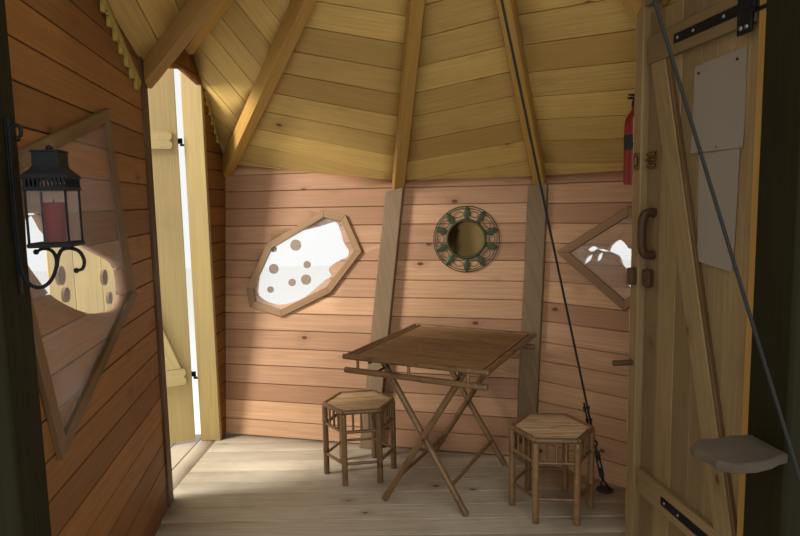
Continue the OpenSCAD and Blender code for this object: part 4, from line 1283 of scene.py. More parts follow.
@dataclass
class Shapes:
    """Outlines of the windows in their bays' frames: frames in metres, cuts in millimetres."""

    left_frame: Rings = (
        (0.050, 1.690), (0.880, 1.930), (0.990, 1.445), (1.090, 1.165), (0.195, 0.805), (0.020, 1.350))
    left_cut: Rings = (
        (105, 1415), (85, 1500), (150, 1525), (225, 1540), (330, 1460), (555, 1425), (745, 1375), (915, 1325),
        (965, 1260), (960, 1185), (875, 1145), (720, 1155), (505, 1195), (275, 1280), (175, 1350))
    back_frame: Rings = (
        (0.830, 1.480), (0.945, 1.240), (0.735, 0.970), (0.395, 0.805), (0.160, 0.865), (0.135, 0.995),
        (0.275, 1.295), (0.675, 1.515))
    back_cut: Rings = (
        (205, 945), (200, 1020), (220, 1140), (250, 1220), (310, 1285), (400, 1345), (490, 1380), (585, 1400),
        (650, 1415), (750, 1440), (790, 1380), (815, 1300), (850, 1250), (840, 1205), (790, 1185),
        (715, 1130), (735, 1080), (685, 1050), (580, 960), (500, 915), (385, 885), (290, 895))
    right_frame: Rings = (
        (0.090, 1.245), (0.500, 1.515), (0.850, 1.245), (0.520, 0.940))
    right_cut: Rings = (
        (395, 1268), (415, 1308), (450, 1330), (485, 1312), (510, 1283), (560, 1278), (620, 1270),
        (640, 1210), (600, 1150), (560, 1100), (530, 1070), (512, 1110), (505, 1165), (475, 1195),
        (455, 1238), (420, 1255))
    head_wave: Rings = (
        (-0.06, 2.14), (0.0, 2.14), (0.04, 2.16), (0.05, 2.205), (0.13, 2.215), (0.225, 2.262), (0.25, 2.305),
        (0.30, 2.322), (0.38, 2.30), (0.50, 2.325), (0.60, 2.315), (0.79, 2.29), (0.79, 2.9), (-0.06, 2.9))

    @staticmethod
    def curved(points: Rings) -> Array:
        """Returns the smooth outline through points in millimetres, in metres."""
        return smooth(np.array(points) / 1000)

    @staticmethod
    def leaves() -> tuple[Array, ...]:
        """Returns the right window's small leaf-shaped cuts in metres: two arcs from stem to tip."""
        made = []
        for a, b, w in (((250, 1180), (308, 1246), 34), ((265, 1268), (335, 1278), 34),
                        ((362, 1264), (330, 1194), 34), ((325, 1274), (402, 1262), 12)):
            a, b = np.array(a) / 1000, np.array(b) / 1000
            d = b - a
            q = np.array([-d[1], d[0]]) / norm(d) * w / 2000
            t = np.arange(6)[:, None] / 5
            up = a + d * t + q * np.sin(pi * t)
            down = b - d * t[1:5] - q * np.sin(pi * t[1:5])
            made.append(np.vstack([up, down]))
        return tuple(made)


def walls(plan: Plan, roof: Roof, shapes: Shapes) -> None:
    """Builds every boarded wall."""
    bays = [Bay(plan, k) for k in range(7)]
    dark, opening, jamb = 1.457, 0.790, 0.035
    # The left wall's boards take the darker pine, painted shade.
    BoardedWall(bays[0], "left_wall", (0,), 2.72, span=(None, dark), cuts=(shapes.curved(shapes.left_cut),),
                stuff=Stuff.LEFT).build(roof)
    # The door wall's boards take the darker head pine, painted shade.
    BoardedWall(bays[1], "door_head", (1, 2), 2.66, 2.10, span=(0.0, opening),
                keep=np.array(shapes.head_wave), stuff=Stuff.HEAD).build(roof)
    BoardedWall(bays[1], "door_side_wall", (2,), 2.66, span=(opening + jamb, None),
                stuff=Stuff.HEAD).build(roof)
    BoardedWall(bays[2], "back_wall_left", (3,), 1.95, cuts=(shapes.curved(shapes.back_cut),)).build(roof)
    BoardedWall(bays[3], "back_wall_middle", (4,), 1.85).build(roof)
    BoardedWall(bays[4], "back_wall_right", (5,), 1.86,
                cuts=(shapes.curved(shapes.right_cut), *shapes.leaves())).build(roof)
    BoardedWall(bays[5], "return_wall", (6,), 2.64, stuff=Stuff.ROOF).build(roof)
    # The boards over the entrance take the door's darker pine, painted shade.
    BoardedWall(bays[6], "entrance_head", (6,), 2.64, 2.3057, span=(0.0621, 0.7149),
                stuff=Stuff.PAINTED_SHADE_DOOR).build(roof)


@dataclass
class Hung:
    """A door's frame: its bay's, turned about the hinge."""

    bay: Bay
    pivot: tuple[float, float] = (0.0, 0.0)
    swing: float = 0.0

    def place(self, x: Numbers, y: Numbers, z: Numbers) -> Array:
        """Turns local coordinates into the model's, about the hinge first."""
        a = radians(-self.swing)
        dx, dy = np.asarray(x, float) - self.pivot[0], np.asarray(y, float) - self.pivot[1]
        return self.bay.place(self.pivot[0] + dx * cos(a) - dy * sin(a),
                              self.pivot[1] + dx * sin(a) + dy * cos(a), z)


def bolt(shell: Shell, place: Place, x: float, y: float, z: float, r: float = 0.006,
         rise: float = 0.004) -> None:
    """Adds a round bolt head that stands out of a face toward smaller y."""
    rings = [(0.0005, 1.0), (-0.4 * rise, 1.0), (-0.85 * rise, 0.72), (-rise, 0.3)]
    flat = circle(10, r)
    shell.sweep(np.stack([place(x + flat[:, 0] * k, y + d, z + flat[:, 1] * k) for d, k in rings]))


@dataclass
class Windows:
    """Mitred battens round the panes."""

    plan: Plan
    shapes: "Shapes"
    width: float = 0.046
    thick: float = 0.020

    def frame(self, k: int, outline: Rings, node: str, stuff: Stuff) -> None:
        """Lays one batten along each side of a pane, mitred where it meets the next."""
        bay, shell, outline = Bay(self.plan, k), Shell(seed=81 + k), np.array(outline)
        inner = inset_loop(outline, self.width)
        for i, a in enumerate(outline):
            j = (i + 1) % len(outline)
            d = outline[j] - a
            quad = inset_loop(np.array([a, outline[j], inner[j], inner[i]]), 0.0001)
            proud = shell.random.uniform(0, 0.0008)
            shell.slab(bay.place, quad, -self.thick + proud, -SEAT, slant(d), 0.002)
            for p in (0.78 * a + 0.22 * outline[j], 0.22 * a + 0.78 * outline[j]):
                p = p + 0.5 * ((inner[i] + inner[j]) - (a + outline[j])) / 2
                bolt(shell, bay.place, p[0], -self.thick + 0.001, p[1], 0.0035, 0.0015)
        made = shell.build("battens_" + node)
        if k == 4:
            limit = np.array([[-0.3, 0.6], [0.79, 0.6], [0.79, 1.9], [-0.3, 1.9]])
            carve(made, bay.prism(limit), Cut.WITHIN)
        dress(made, stuff, "batten_wood", node)

    def build(self) -> None:
        """Builds the three windows' battens."""
        # The left window's battens take the darker batten wood, painted shade.
        self.frame(0, self.shapes.left_frame, "left_window_frame", Stuff.PAINTED_SHADE_BATTEN)
        self.frame(2, self.shapes.back_frame, "back_window_frame", Stuff.BATTEN)
        self.frame(4, self.shapes.right_frame, "right_window_frame", Stuff.BATTEN)


@dataclass
class Door:
    """A ledged and braced door of upright boards."""

    hung: Hung
    body: str
    edges: tuple[float, ...]
    face: float
    height: float
    toward: float
    stuff: Stuff
    thick: float = 0.028
    ledge_t: float = 0.022
    ledge_w: float = 0.110
    sill: float = 0.014

    def boards(self, node: str, seed: int) -> None:
        """Sets the boards side by side, each with cut edges and its own tone."""
        shell = Shell(seed=seed)
        for a, b in zip(self.edges[:-1], self.edges[1:]):
            lift = shell.random.uniform(0, 0.0008)
            shell.plank(self.hung.place, (a + TOUCH, self.face + lift, self.sill),
                        (b - TOUCH, self.face + self.thick - lift, self.height), 2, 0.0035)
        dress(shell.build("boards_" + node), self.stuff, "door_pine", node, body=self.body)

    def ledge(self, shell: Shell, x0: float, x1: float, z: float, notch: int) -> None:
        """Adds a level ledge; its end on the notch side has two round lobes."""
        h, t = self.ledge_w / 2, np.linspace(-1, 1, 15)
        lobe = 0.014 * (np.abs(np.sin(pi * t)) ** 0.7 * np.sign(1.001 - np.abs(t)) - 1)
        end = np.stack([x1 + lobe, z + t * h], 1)
        outline = np.vstack([[x0, z + h], [x0, z - h], end])
        if notch < 0:
            outline[:, 0] = x0 + x1 - outline[:, 0]
        low, high = sorted((self.toward, self.toward + copysign(self.ledge_t, self.face - self.toward)))
        shell.slab(self.hung.place, outline, low, high, 0.0, 0.003)

    def brace(self, shell: Shell, a: Sequence[float], b: Sequence[float], width: float,
              inset: float = 0.0) -> None:
        """Adds a slanted board whose ends are level, between the two ledges."""
        a, b = np.asarray(a, float), np.asarray(b, float)
        d = b - a
        half = width / 2 / abs(d[1]) * norm(d)
        wide = np.array([half, 0.0])
        outline = np.array([a - wide, a + wide, b + wide, b - wide])
        low, high = sorted((self.toward + copysign(inset, self.face - self.toward),
                            self.toward + copysign(self.ledge_t, self.face - self.toward)))
        shell.slab(self.hung.place, outline, low, high, slant(d), 0.003)


@dataclass
class NarrowDoor:
    """The tall door that stands open outside the left wall's doorway."""

    plan: Plan
    low: float = 0.45
    high: float = 1.95

    def build(self) -> None:
        """Builds the leaf, its ledges and brace."""
        hung = Hung(Bay(self.plan, 1), self.plan.pivot, self.plan.swing)
        edges = (self.plan.leaf_end, 0.152, 0.300, 0.432, 0.600, 0.780)
        door = Door(hung, "narrow_door", edges, self.plan.leaf[0], 2.4, 0.114, Stuff.DOOR)
        door.boards("narrow_leaf", 5)
        shell = Shell(seed=6)
        door.ledge(shell, 0.070, 0.745, self.low, 1)
        door.ledge(shell, 0.070, 0.745, self.high, 1)
        door.brace(shell, (0.670, self.low + 0.0555), (0.170, self.high - 0.0555), 0.090)
        for z in (self.low, self.high):
            for x in (0.12, 0.36, 0.66):
                bolt(shell, hung.place, x, 0.1145, z + 0.022, 0.005, 0.002)
        dress(shell.build("ledges_narrow"), Stuff.DOOR, "door_pine", "narrow_ledges", body="narrow_door")


@dataclass
class EntranceDoor:
    """The ledged door at the right: straps, brace, papers, handle, latch and bolt."""

    plan: Plan
    leaf: tuple[float, float] = (0.072, 0.705)
    face: float = 0.026
    top: float = 2.2806
    low: float = 0.320
    high: float = 2.130

    def build(self) -> None:
        """Builds the door from the boards out to its fittings."""
        hung = Hung(Bay(self.plan, 6))
        edges = (self.leaf[0], 0.175, 0.290, 0.407, 0.494, 0.580, self.leaf[1])
        # The leaf takes the darker pine that paints shade on it.
        door = Door(hung, "entrance_door", edges, self.face, self.top, self.face - 0.022, Stuff.PAINTED_SHADE_DOOR)
        door.boards("entrance_leaf", 7)
        shell = Shell(seed=8)
        for z in (self.low, self.high):
            door.ledge(shell, 0.084, 0.697, z, -1)
        foot, head = (0.645, self.low + 0.0555), (0.162, self.high - 0.0555)
        door.brace(shell, foot, head, 0.095)
        self._hang(shell.build("ledges_entrance"), Stuff.PAINTED_SHADE_DOOR, "door_pine", "entrance_ledges")
        # A thin dark strip along the brace's right side: painted shadow for the brace's shaded side face.
        edge = Shell(seed=9)
        door.brace(edge, (foot[0] + 0.0575, foot[1]), (head[0] + 0.0575, head[1]), 0.015, 0.004)
        self._hang(edge.build("brace_painted_shadow_strip"), Stuff.PAINTED_SHADE_BATTEN, "batten_wood")
        self._straps(hung.place)
        self._papers(hung.place)
        self._handle(hung.place)
        self._bolt(hung.place)

    @staticmethod
    def _hang(piece: Piece, stuff: Stuff, slot: str, *nodes: str) -> None:
        """Dresses a piece that moves with the door."""
        dress(piece, stuff, slot, *nodes, body="entrance_door")

    def _straps(self, place: Place) -> None:
        """Adds the straps' steel bolts, and the black knuckle blocks at their ends with two bolts each."""
        iron, steel = Shell(seed=10), Shell(seed=11)
        for z in (self.low, self.high):
            iron.plank(place, (0.632, -0.010, z - 0.085), (0.700, -0.0001, z + 0.045), 2, 0.003)
            iron.plank(place, (0.640, -0.0118, z - 0.014), (0.692, -0.0095, z + 0.038), 2, 0.002)
            for x in (0.300, 0.394, 0.556):
                bolt(steel, place, x, 0.0, z, 0.0065, 0.0045)
            for x in (0.655, 0.681):
                bolt(steel, place, x, -0.010, z - 0.066, 0.0075, 0.006)
        self._hang(iron.build("knuckle_blocks"), Stuff.IRON, "black_iron")
        self._hang(steel.build("strap_bolts"), Stuff.STEEL, "cable_steel")

    def _papers(self, place: Place) -> None:
        """Pins two bare sheets to the boards; each curls a little at its free edge."""
        sheets = (((0.372, 1.701), (0.372, 2.009), (0.642, 2.016), (0.645, 1.699)),
                  ((0.432, 1.312), (0.414, 1.699), (0.629, 1.698), (0.620, 1.292)))
        shell, pins = Shell(seed=12), Shell(seed=13)
        t, s = np.meshgrid(np.linspace(0, 1, 14), np.linspace(0, 1, 10), indexing="ij")
        for n, corners in enumerate(sheets):
            a, b, c, d = (np.asarray(p) for p in corners)
            flat = (((1 - t) * (1 - s))[..., None] * a + (t * (1 - s))[..., None] * b
                    + (t * s)[..., None] * c + ((1 - t) * s)[..., None] * d)
            y = self.face - 0.0012 - 0.0016 * n - 0.006 * (1 - t) ** 4 - 0.0012 * np.sin(5 * s + 3 * t)
            front, back = (place(flat[..., 0], y + e, flat[..., 1]) for e in (0.0, 0.0004))
            loop = np.concatenate([front, back[:, ::-1]], axis=1)
            across = np.concatenate([s, s[:, ::-1]], 1)
            shell.sweeps(loop[None], flat=np.stack([np.concatenate([t, t], 1), across], -1)[None])
        for x, z in ((0.515, 1.712), (0.526, 1.320), (0.600, 1.985), (0.400, 1.980)):
            bolt(pins, place, x, self.face - 0.004, z, 0.0045, 0.004)
        self._hang(shell.build("notice_sheets"), Stuff.PAPER, "clear_pane")
        self._hang(pins.build("sheet_pins"), Stuff.IRON, "black_iron")

    def _handle(self, place: Place) -> None:
        """Carries a rounded bar along the D of the handle, and sets the wooden latch block."""
        x0, z0, y0 = 0.134, 1.395, self.face
        half = np.array([[0.000, -0.085], [-0.020, -0.088], [-0.040, -0.081], [-0.051, -0.060],
                         [-0.054, -0.025]])
        path = smooth(np.vstack([half, half[::-1] * [1, -1]]), 5, False)
        fat = 1 + 0.10 * np.abs(np.linspace(-1, 1, len(path))) ** 3
        points = place(np.full(len(path), x0), y0 + path[:, 0], z0 + path[:, 1])
        shape = chamfered(0.034, 0.034, 0.010) - 0.017
        normal = place(1.0, 0.0, 0.0) - place(0.0, 0.0, 0.0)
        loop = carried(shape[:, ::-1], points, normal, fat)
        made = bevelled(Shell(seed=14).sweep(loop).build("handle_bar", 50), 0.002)
        self._hang(made, Stuff.HANDLE, "handle_wood", "entrance_handle")
        block = Shell(seed=15)
        outline = smooth(((0.086, 1.180), (0.096, 1.173), (0.130, 1.173), (0.140, 1.182),
                          (0.140, 1.236), (0.130, 1.246), (0.098, 1.245), (0.086, 1.236)))
        block.slab(place, outline, 0.002, 0.0258, 90.0, 0.004)
        self._hang(block.build("latch_block"), Stuff.HANDLE, "handle_wood", "entrance_latch")

    def _bolt(self, place: Place) -> None:
        """Builds the brass barrel bolt: two plates, a barrel with two bands, and a knob."""
        brass, keep, wood = Shell(seed=16), Shell(seed=17), Shell(seed=18)
        brass.plank(place, (0.086, 0.0215, 1.660), (0.144, 0.0258, 1.730), 2, 0.001)
        for z in (1.672, 1.718):
            brass.plank(place, (0.088, 0.008, z - 0.006), (0.142, 0.0220, z + 0.006), 0, 0.003)
        brass.rod(place(0.082, 0.014, 1.695), place(0.146, 0.014, 1.695), 0.006)
        brass.rod(place(0.116, 0.012, 1.695), place(0.116, -0.006, 1.695), 0.004)
        keep.plank(place, (0.010, -0.0045, 1.660), (0.054, -SEAT, 1.730), 2, 0.001)
        keep.plank(place, (0.036, -0.018, 1.676), (0.052, -0.0045, 1.714), 2, 0.003)
        outline = smooth(((0.008, 1.182), (0.018, 1.173), (0.046, 1.173), (0.054, 1.182),
                          (0.054, 1.236), (0.045, 1.246), (0.018, 1.245), (0.008, 1.236)))
        wood.slab(place, outline, -0.024, -SEAT, 90.0, 0.004)
        wood.rod(place(0.030, -SEAT, 0.830), place(0.030, -0.088, 0.830), 0.0128, 16)
        self._hang(brass.build("brass_bolt"), Stuff.BRASS, "cable_steel")
        dress(keep.build("brass_keep"), Stuff.BRASS, "cable_steel")
        dress(wood.build("keep_and_peg"), Stuff.HANDLE, "handle_wood", "latch_keeps")


@dataclass
class BambooTable:
    """A folding table of canes: framed slats, low rails and two pairs of crossed legs."""

    spot: Spot
    height: float = 0.790
    half_w: float = 0.385
    half_l: float = 0.425
    r: float = 0.014
    thick: float = 0.0165
    drop: float = 0.068
    foot: float = 0.240
    head: float = 0.250
    leg_y: float = 0.313
    sunk: float = 0.020
    rung: float = 0.140
    slats: int = 46

    def _leg(self, shell: Shell, sign: int, y: float) -> None:
        """Adds one leg; its axis starts sunk below the floor, and it is cut where it stands."""
        place, top = self.spot.place, self.height - self.r
        foot, head = np.array([-sign * self.foot, -self.sunk]), np.array([sign * self.head, top])
        d = head - foot
        start = foot + d * ((self.thick * abs(d[0]) / norm(d) - foot[1]) / d[1])
        shell.culm(place(start[0], y, start[1]), place(head[0], y, head[1] - 0.004), self.thick, 0.21, 12)

    def build(self) -> None:
        """Builds the canes, then the slats and the dark pegs."""
        place, top, r = self.spot.place, self.height - self.r, self.r
        x, y = self.half_w - r, self.half_l - r
        cane = Shell(seed=21)
        for s in (-1, 1):
            cane.culm(place(-self.half_w, s * y, top), place(self.half_w, s * y, top), r, 0.24, 14)
            cane.culm(place(s * x, -y + r, top), place(s * x, y - r, top), r * 0.95, 0.24, 12)
            edge = s * (x - 0.031)
            cane.culm(place(edge, -y + r, top + 0.003), place(edge, y - r, top + 0.003), 0.0085, 0.2, 10)
            rail = self.half_w - 0.008
            low = top - self.drop
            cane.culm(place(-rail, s * y, low), place(rail, s * y, low), r * 1.1, 0.26, 12)
            for part in (-0.8, -0.05, 0.75):
                cane.culm(place(part * rail, s * y, low), place(part * rail, s * y, top), 0.0075, 0.3, 8)
        for side in (-1, 1):
            self._leg(cane, 1, side * self.leg_y)
            self._leg(cane, -1, side * self.leg_y + 1.8 * r)
        at = self.foot - (self.foot + self.head) * (self.rung + self.sunk) / (top + self.sunk)
        for x0, y0 in ((-at, 0.0), (at, 1.8 * r)):
            ends = (place(x0, y0 + side * self.leg_y, self.rung) for side in (-1, 1))
            cane.culm(*ends, 0.0098, 0.2, 10)
        dress(cane.build("table_canes", 60), Stuff.CANE, "bamboo", "table")
        slat = Shell(seed=22)
        ends = np.linspace(-y + r, y - r, self.slats + 1)
        for a, b in zip(ends[:-1], ends[1:]):
            z = top - 0.006 + slat.random.uniform(-0.0008, 0.0008)
            slat.strip(place(-x + 0.040, (a + b) / 2, z), place(x - 0.040, (a + b) / 2, z),
                       b - a - 0.0012, 0.011)
        for s in (-0.62, -0.2, 0.2, 0.62):
            low, high = (s * x - 0.012, -y + r, top - 0.014), (s * x + 0.012, y - r, top - 0.0065)
            slat.plank(place, low, high, 1, 0.002)
        dress(slat.build("table_slats", 60), Stuff.SLAT, "bamboo")
        peg = Shell(seed=23)
        cross = self.head - (self.foot + self.head) * 0.5 + 0.005
        middle = (top + self.sunk) * 0.49 - self.sunk
        for s in (-1, 1):
            at = s * self.leg_y + 0.9 * r
            peg.rod(place(cross, at - 0.034, middle), place(cross, at + 0.034, middle), 0.0055, 10)
            for part in (-1, 1):
                for z in (top - self.drop, top - 0.020):
                    share = (z + self.sunk) / (top + self.sunk)
                    lean = part * (-self.foot + (self.foot + self.head) * share)
                    out = s * self.leg_y + (0.0 if part > 0 else 1.8 * r)
                    peg.lash(place(lean, out, z), outward(self.spot.degrees), r * 1.12)
                    peg.rod(place(lean, out, z), place(lean, s * y, z), 0.006, 8)
        dress(peg.build("table_pegs", 60), Stuff.PEG, "bamboo")


@dataclass
class BambooStools:
    """Two hexagonal stools of canes with spindled aprons and slatted seats."""

    spots: tuple[Spot, ...]
    height: float = 0.425
    reach: float = 0.212
    r: float = 0.014
    rung: float = 0.120
    rail: float = 0.300

    def build(self) -> None:
        """Builds both stools into one mesh of canes and one of slats."""
        cane, slat = Shell(seed=24), Shell(seed=25)
        ring = self.reach - 0.018
        seat = self.reach - 0.0135 / cos(radians(30))
        for spot in self.spots:
            place = spot.place
            for i in range(6):
                a, b = heading(60 * i)[:2], heading(60 * (i + 1))[:2]
                leg, other, z = a * ring, b * ring, self.height - 0.0135
                cane.culm(place(*leg, 0.0), place(*leg, self.height - 0.024), 1.18 * self.r, 0.17, 12)
                cane.culm(place(*(a * seat), z), place(*(b * seat), z), 0.0130, 0.3, 12)
                for z, r in ((self.rung, 0.0085), (self.rail, 0.0095)):
                    cane.culm(place(*leg, z), place(*other, z), r, 0.11, 8)
                for part in (0.27, 0.5, 0.73):
                    foot = leg + (other - leg) * part
                    cane.culm(place(*foot, self.rail), place(*foot, self.height - 0.018), 0.0062, 0.2, 8)
            depth = seat * cos(radians(30)) - 0.012
            edges = np.linspace(-depth, depth, 18)
            for a, b in zip(edges[:-1], edges[1:]):
                mid = (a + b) / 2
                half = seat - abs(mid) / sqrt(3) - 0.014
                z = self.height - 0.016
                slat.strip(place(-half, mid, z), place(half, mid, z), b - a - 0.0015, 0.010)
            for x in (-0.09, 0.09):
                low, high = (x - 0.012, -depth, self.height - 0.026), (x + 0.012, depth, self.height - 0.0165)
                slat.plank(place, low, high, 1, 0.002)
        dress(cane.build("stool_canes", 60), Stuff.CANE, "bamboo", "stools")
        # The seat slats take the paler cane, painted light on the stool tops.
        dress(slat.build("stool_slats", 60), Stuff.SEAT, "bamboo")


@dataclass
class Lantern:
    """A four-sided lantern on a scroll bracket at the left post."""

    plan: Plan
    at: float = -0.066
    face: float = -0.055
    base: float = 1.455
    out: float = 0.093
    half: float = 0.047

    def place(self, x: Numbers, u: Numbers, z: Numbers) -> Array:
        """Turns x along the wall, u out from the post's face and z up into the model's coordinates."""
        return Bay(self.plan, 0).place(self.at + np.asarray(x, float), self.face - np.asarray(u, float), z)

    def core(self, x: Numbers, y: Numbers, z: Numbers) -> Array:
        """Turns coordinates about the middle of the lantern's tray into the model's."""
        return self.place(x, self.out + y, self.base + z)

    def side(self, n: int, x: Numbers, y: Numbers, z: Numbers) -> Array:
        """Turns one side's coordinates into the model's, n quarter turns about the middle."""
        c, d = cos(n * pi / 2), sin(n * pi / 2)
        return self.core(c * x - d * y, d * x + c * y, z)

    def _scroll(self, iron: Shell) -> None:
        """Draws the bracket: a long S up the post, two curls under the tray and one at the top."""
        curves = (
            ((0.006, 1.765), (0.0055, 1.60), (0.006, 1.50), (0.0055, 1.435), (0.009, 1.395), (0.024, 1.363),
             (0.050, 1.3555), (0.074, 1.374), (0.0885, 1.410), (0.0860, 1.436), (0.074, 1.4485),
             (0.058, 1.4500), (0.044, 1.4430)),
            ((0.0885, 1.405), (0.093, 1.428), (0.104, 1.4470), (0.124, 1.4500), (0.144, 1.440),
             (0.153, 1.417), (0.147, 1.398), (0.133, 1.394)),
            ((0.0055, 1.712), (0.009, 1.738), (0.021, 1.749), (0.032, 1.742), (0.033, 1.727), (0.024, 1.716)))
        normal = self.place(1.0, 0, 0) - self.place(0.0, 0, 0)
        for curve in curves:
            path = smooth(curve, 6, False)
            points = self.place(0.0, path[:, 0], path[:, 1])
            taper = 1 - 0.25 * np.linspace(0, 1, len(path)) ** 4
            iron.sweep(carried(circle(10, 0.0048), points, normal, taper))
            iron.ball(points[-1], 0.0068)

    def _cap(self, iron: Shell) -> None:
        """Stacks square rings for the tray and the cap, with a lattice band between two rims."""
        square = np.array([[-1, -1], [1, -1], [1, 1], [-1, 1]])
        stacks = (((0.0, 1.0), (0.003, 1.04), (0.009, 1.04), (0.012, 0.98)),
                  ((0.136, 1.03), (0.138, 1.06), (0.143, 1.06), (0.145, 1.03)),
                  ((0.164, 1.03), (0.166, 1.07), (0.171, 1.07), (0.177, 0.97), (0.184, 0.82), (0.191, 0.70),
                   (0.196, 0.65), (0.228, 0.64), (0.229, 0.69), (0.233, 0.69), (0.234, 0.3)))
        for stack in stacks:
            iron.sweep(np.stack([self.core(*(square.T * self.half * k), z) for z, k in stack]))
        iron.ball(self.core(0, 0.0, 0.238), 0.0085)
        count = 10
        s = (np.arange(count) + 0.5) / count * 2 - 1
        for n in range(4):
            for t in s:
                for lean in (-0.5, 0.5):
                    ends = (self.side(n, (t + sign * lean / count) * self.half, self.half, z)
                            for sign, z in ((-1, 0.143), (1, 0.166)))
                    iron.rod(*ends, 0.0021, 5)

    def build(self) -> None:
        """Builds bracket, tray, bars and cap in iron, then the glass and the candle."""
        iron, glass, wax = Shell(seed=26), Shell(seed=27), Shell(seed=28)
        self._scroll(iron)
        self._cap(iron)
        iron.plank(self.place, (-0.009, SEAT, 1.340), (0.009, 0.004, 1.765), 2, 0.001)
        for x in (-1, 1):
            for y in (-1, 1):
                low = np.array([x * 0.0445, self.out + y * 0.0445, self.base + 0.011])
                iron.plank(self.place, low - [0.0025, 0.0025, 0], low + [0.0025, 0.0025, 0.127], 2, 0.0006)
        pane = np.array([[-0.0418, 0.013], [0.0418, 0.013], [0.0418, 0.135], [-0.0418, 0.135]])
        for n in range(4):
            glass.slab(partial(self.side, n), pane, 0.0436, 0.0452, 0.0, 0.0003)
        wax.turned(self.core, ((0.012, 0.0225), (0.030, 0.023), (0.070, 0.0245), (0.100, 0.0258),
                               (0.1065, 0.0252), (0.108, 0.0235), (0.1055, 0.020), (0.1035, 0.008)))
        wax.rod(self.core(0, 0.0, 0.102), self.core(0.001, 0.0, 0.116), 0.0012, 6)
        dress(iron.build("lantern_iron", 50), Stuff.IRON, "black_iron", "lantern")
        dress(glass.build("lantern_glass"), Stuff.LAMPGLASS, "clear_pane")
        dress(wax.build("lantern_candle", 50), Stuff.WAX, "red_paint")


@dataclass
class Mirror:
    """A round mirror in a wreath of wires and ten leaf-shaped plates."""

    plan: Plan
    centre: tuple[float, float] = (0.600, 1.320)
    rim: float = 0.118
    reach: float = 0.205

    def dial(self, x: Numbers, y: Numbers, z: Numbers) -> Array:
        """Turns coordinates about the mirror's centre into the model's."""
        return Bay(self.plan, 3).place(self.centre[0] + np.asarray(x), y, self.centre[1] + np.asarray(z))

    def ring(self, shell: Shell, radius: float, r: float, y: float, wave: float = 0.0,
             sides: int = 8) -> None:
        """Adds a ring: a small circle carried round a circle, whose radius may wave ten times."""
        a = np.arange(120)[:, None] * 2 * pi / 120
        flat = circle(sides, r)
        out = radius + wave * np.cos(10 * a) + flat[None, :, 0]
        depth = y + np.broadcast_to(flat[None, :, 1], out.shape)
        shell.sweep(self.dial(out * np.cos(a), depth, out * np.sin(a)), looped=True)

    def build(self) -> None:
        """Builds the rings and leaves, then the glass."""
        green, glass = Shell(seed=29), Shell(seed=30)
        self.ring(green, self.rim, 0.0085, -0.010, sides=12)
        wires = ((self.reach, 0.0030, -0.0075), (self.reach - 0.013, 0.0024, -0.0070),
                 (0.168, 0.0022, -0.0075, 0.010), (0.150, 0.0020, -0.0065, -0.008))
        for wire in wires:
            self.ring(green, *wire)
        t = np.linspace(0, 1, 13)
        belly = 0.0125 * np.sin(pi * np.clip(t * 1.08, 0, 1)) ** 0.8
        half = 0.0085 + belly + 0.0030 * np.cos(5 * pi * t)
        half[-1] = 0.006
        along = self.rim + 0.004 + (self.reach - self.rim - 0.006) * t
        for i in range(10):
            a = radians(90 + 36 * i + (2 if i % 2 else -1))
            u, v = np.array([cos(a), sin(a)]), np.array([-sin(a), cos(a)])
            middle, wide = along[:, None] * u, half[:, None] * v
            outline = np.vstack([middle + wide, (middle - wide)[::-1]])
            green.slab(self.dial, outline, -0.0105, -0.0045, 90 + 36 * i, 0.0015)
            vein = (self.dial(u[0] * r, -0.0112, u[1] * r) for r in (self.rim, self.reach - 0.006))
            green.rod(*vein, 0.0026, 6)
        flat = circle(64)
        rings = ((-0.0005, 0.113), (-0.0100, 0.113), (-0.0112, 0.108))
        glass.sweep(np.stack([self.dial(flat[:, 0] * r, y, flat[:, 1] * r) for y, r in rings]))
        dress(green.build("mirror_wreath", 50), Stuff.GREENMETAL, "green_metal", "wall_mirror")
        dress(glass.build("mirror_glass"), Stuff.MIRROR, "cable_steel")


@dataclass
class Extinguisher:
    """A red bottle with a black head, hose and a bare black band."""

    spot: Spot

    def build(self) -> None:
        """Builds bottle, band, head and hose."""
        red, band, black = Shell(seed=32), Shell(seed=33), Shell(seed=34)
        place, sides = self.spot.place, 36
        red.turned(place, ((0.0, 0.040), (0.002, 0.046), (0.010, 0.0475), (0.262, 0.0475), (0.288, 0.043),
                           (0.308, 0.030), (0.322, 0.020), (0.334, 0.0175)), sides)
        band.turned(place, ((0.150, 0.0470), (0.151, 0.0480), (0.214, 0.0480), (0.215, 0.0470)), sides)
        black.turned(place, ((0.332, 0.0155), (0.336, 0.019), (0.350, 0.020), (0.362, 0.017),
                             (0.372, 0.010)), sides)
        black.plank(place, (-0.012, -0.046, 0.366), (0.012, 0.020, 0.374), 1, 0.002)
        black.plank(place, (-0.010, -0.044, 0.380), (0.010, 0.014, 0.387), 1, 0.002)
        hose = smooth(((0.0, 0.018, 0.352), (0.0, 0.034, 0.346), (0.0, 0.0470, 0.315),
                       (0.004, 0.0500, 0.25), (0.002, 0.0505, 0.16), (0.0, 0.0500, 0.09)), 6, False)
        black.sweep(carried(circle(8, 0.0058), place(*hose.T), heading(self.spot.degrees)))
        dress(red.build("red_bottle"), Stuff.RED, "red_paint", "extinguisher")
        dress(band.build("bottle_band"), Stuff.BLACK, "black_iron")
        dress(black.build("bottle_head", 50), Stuff.BLACK, "black_iron")


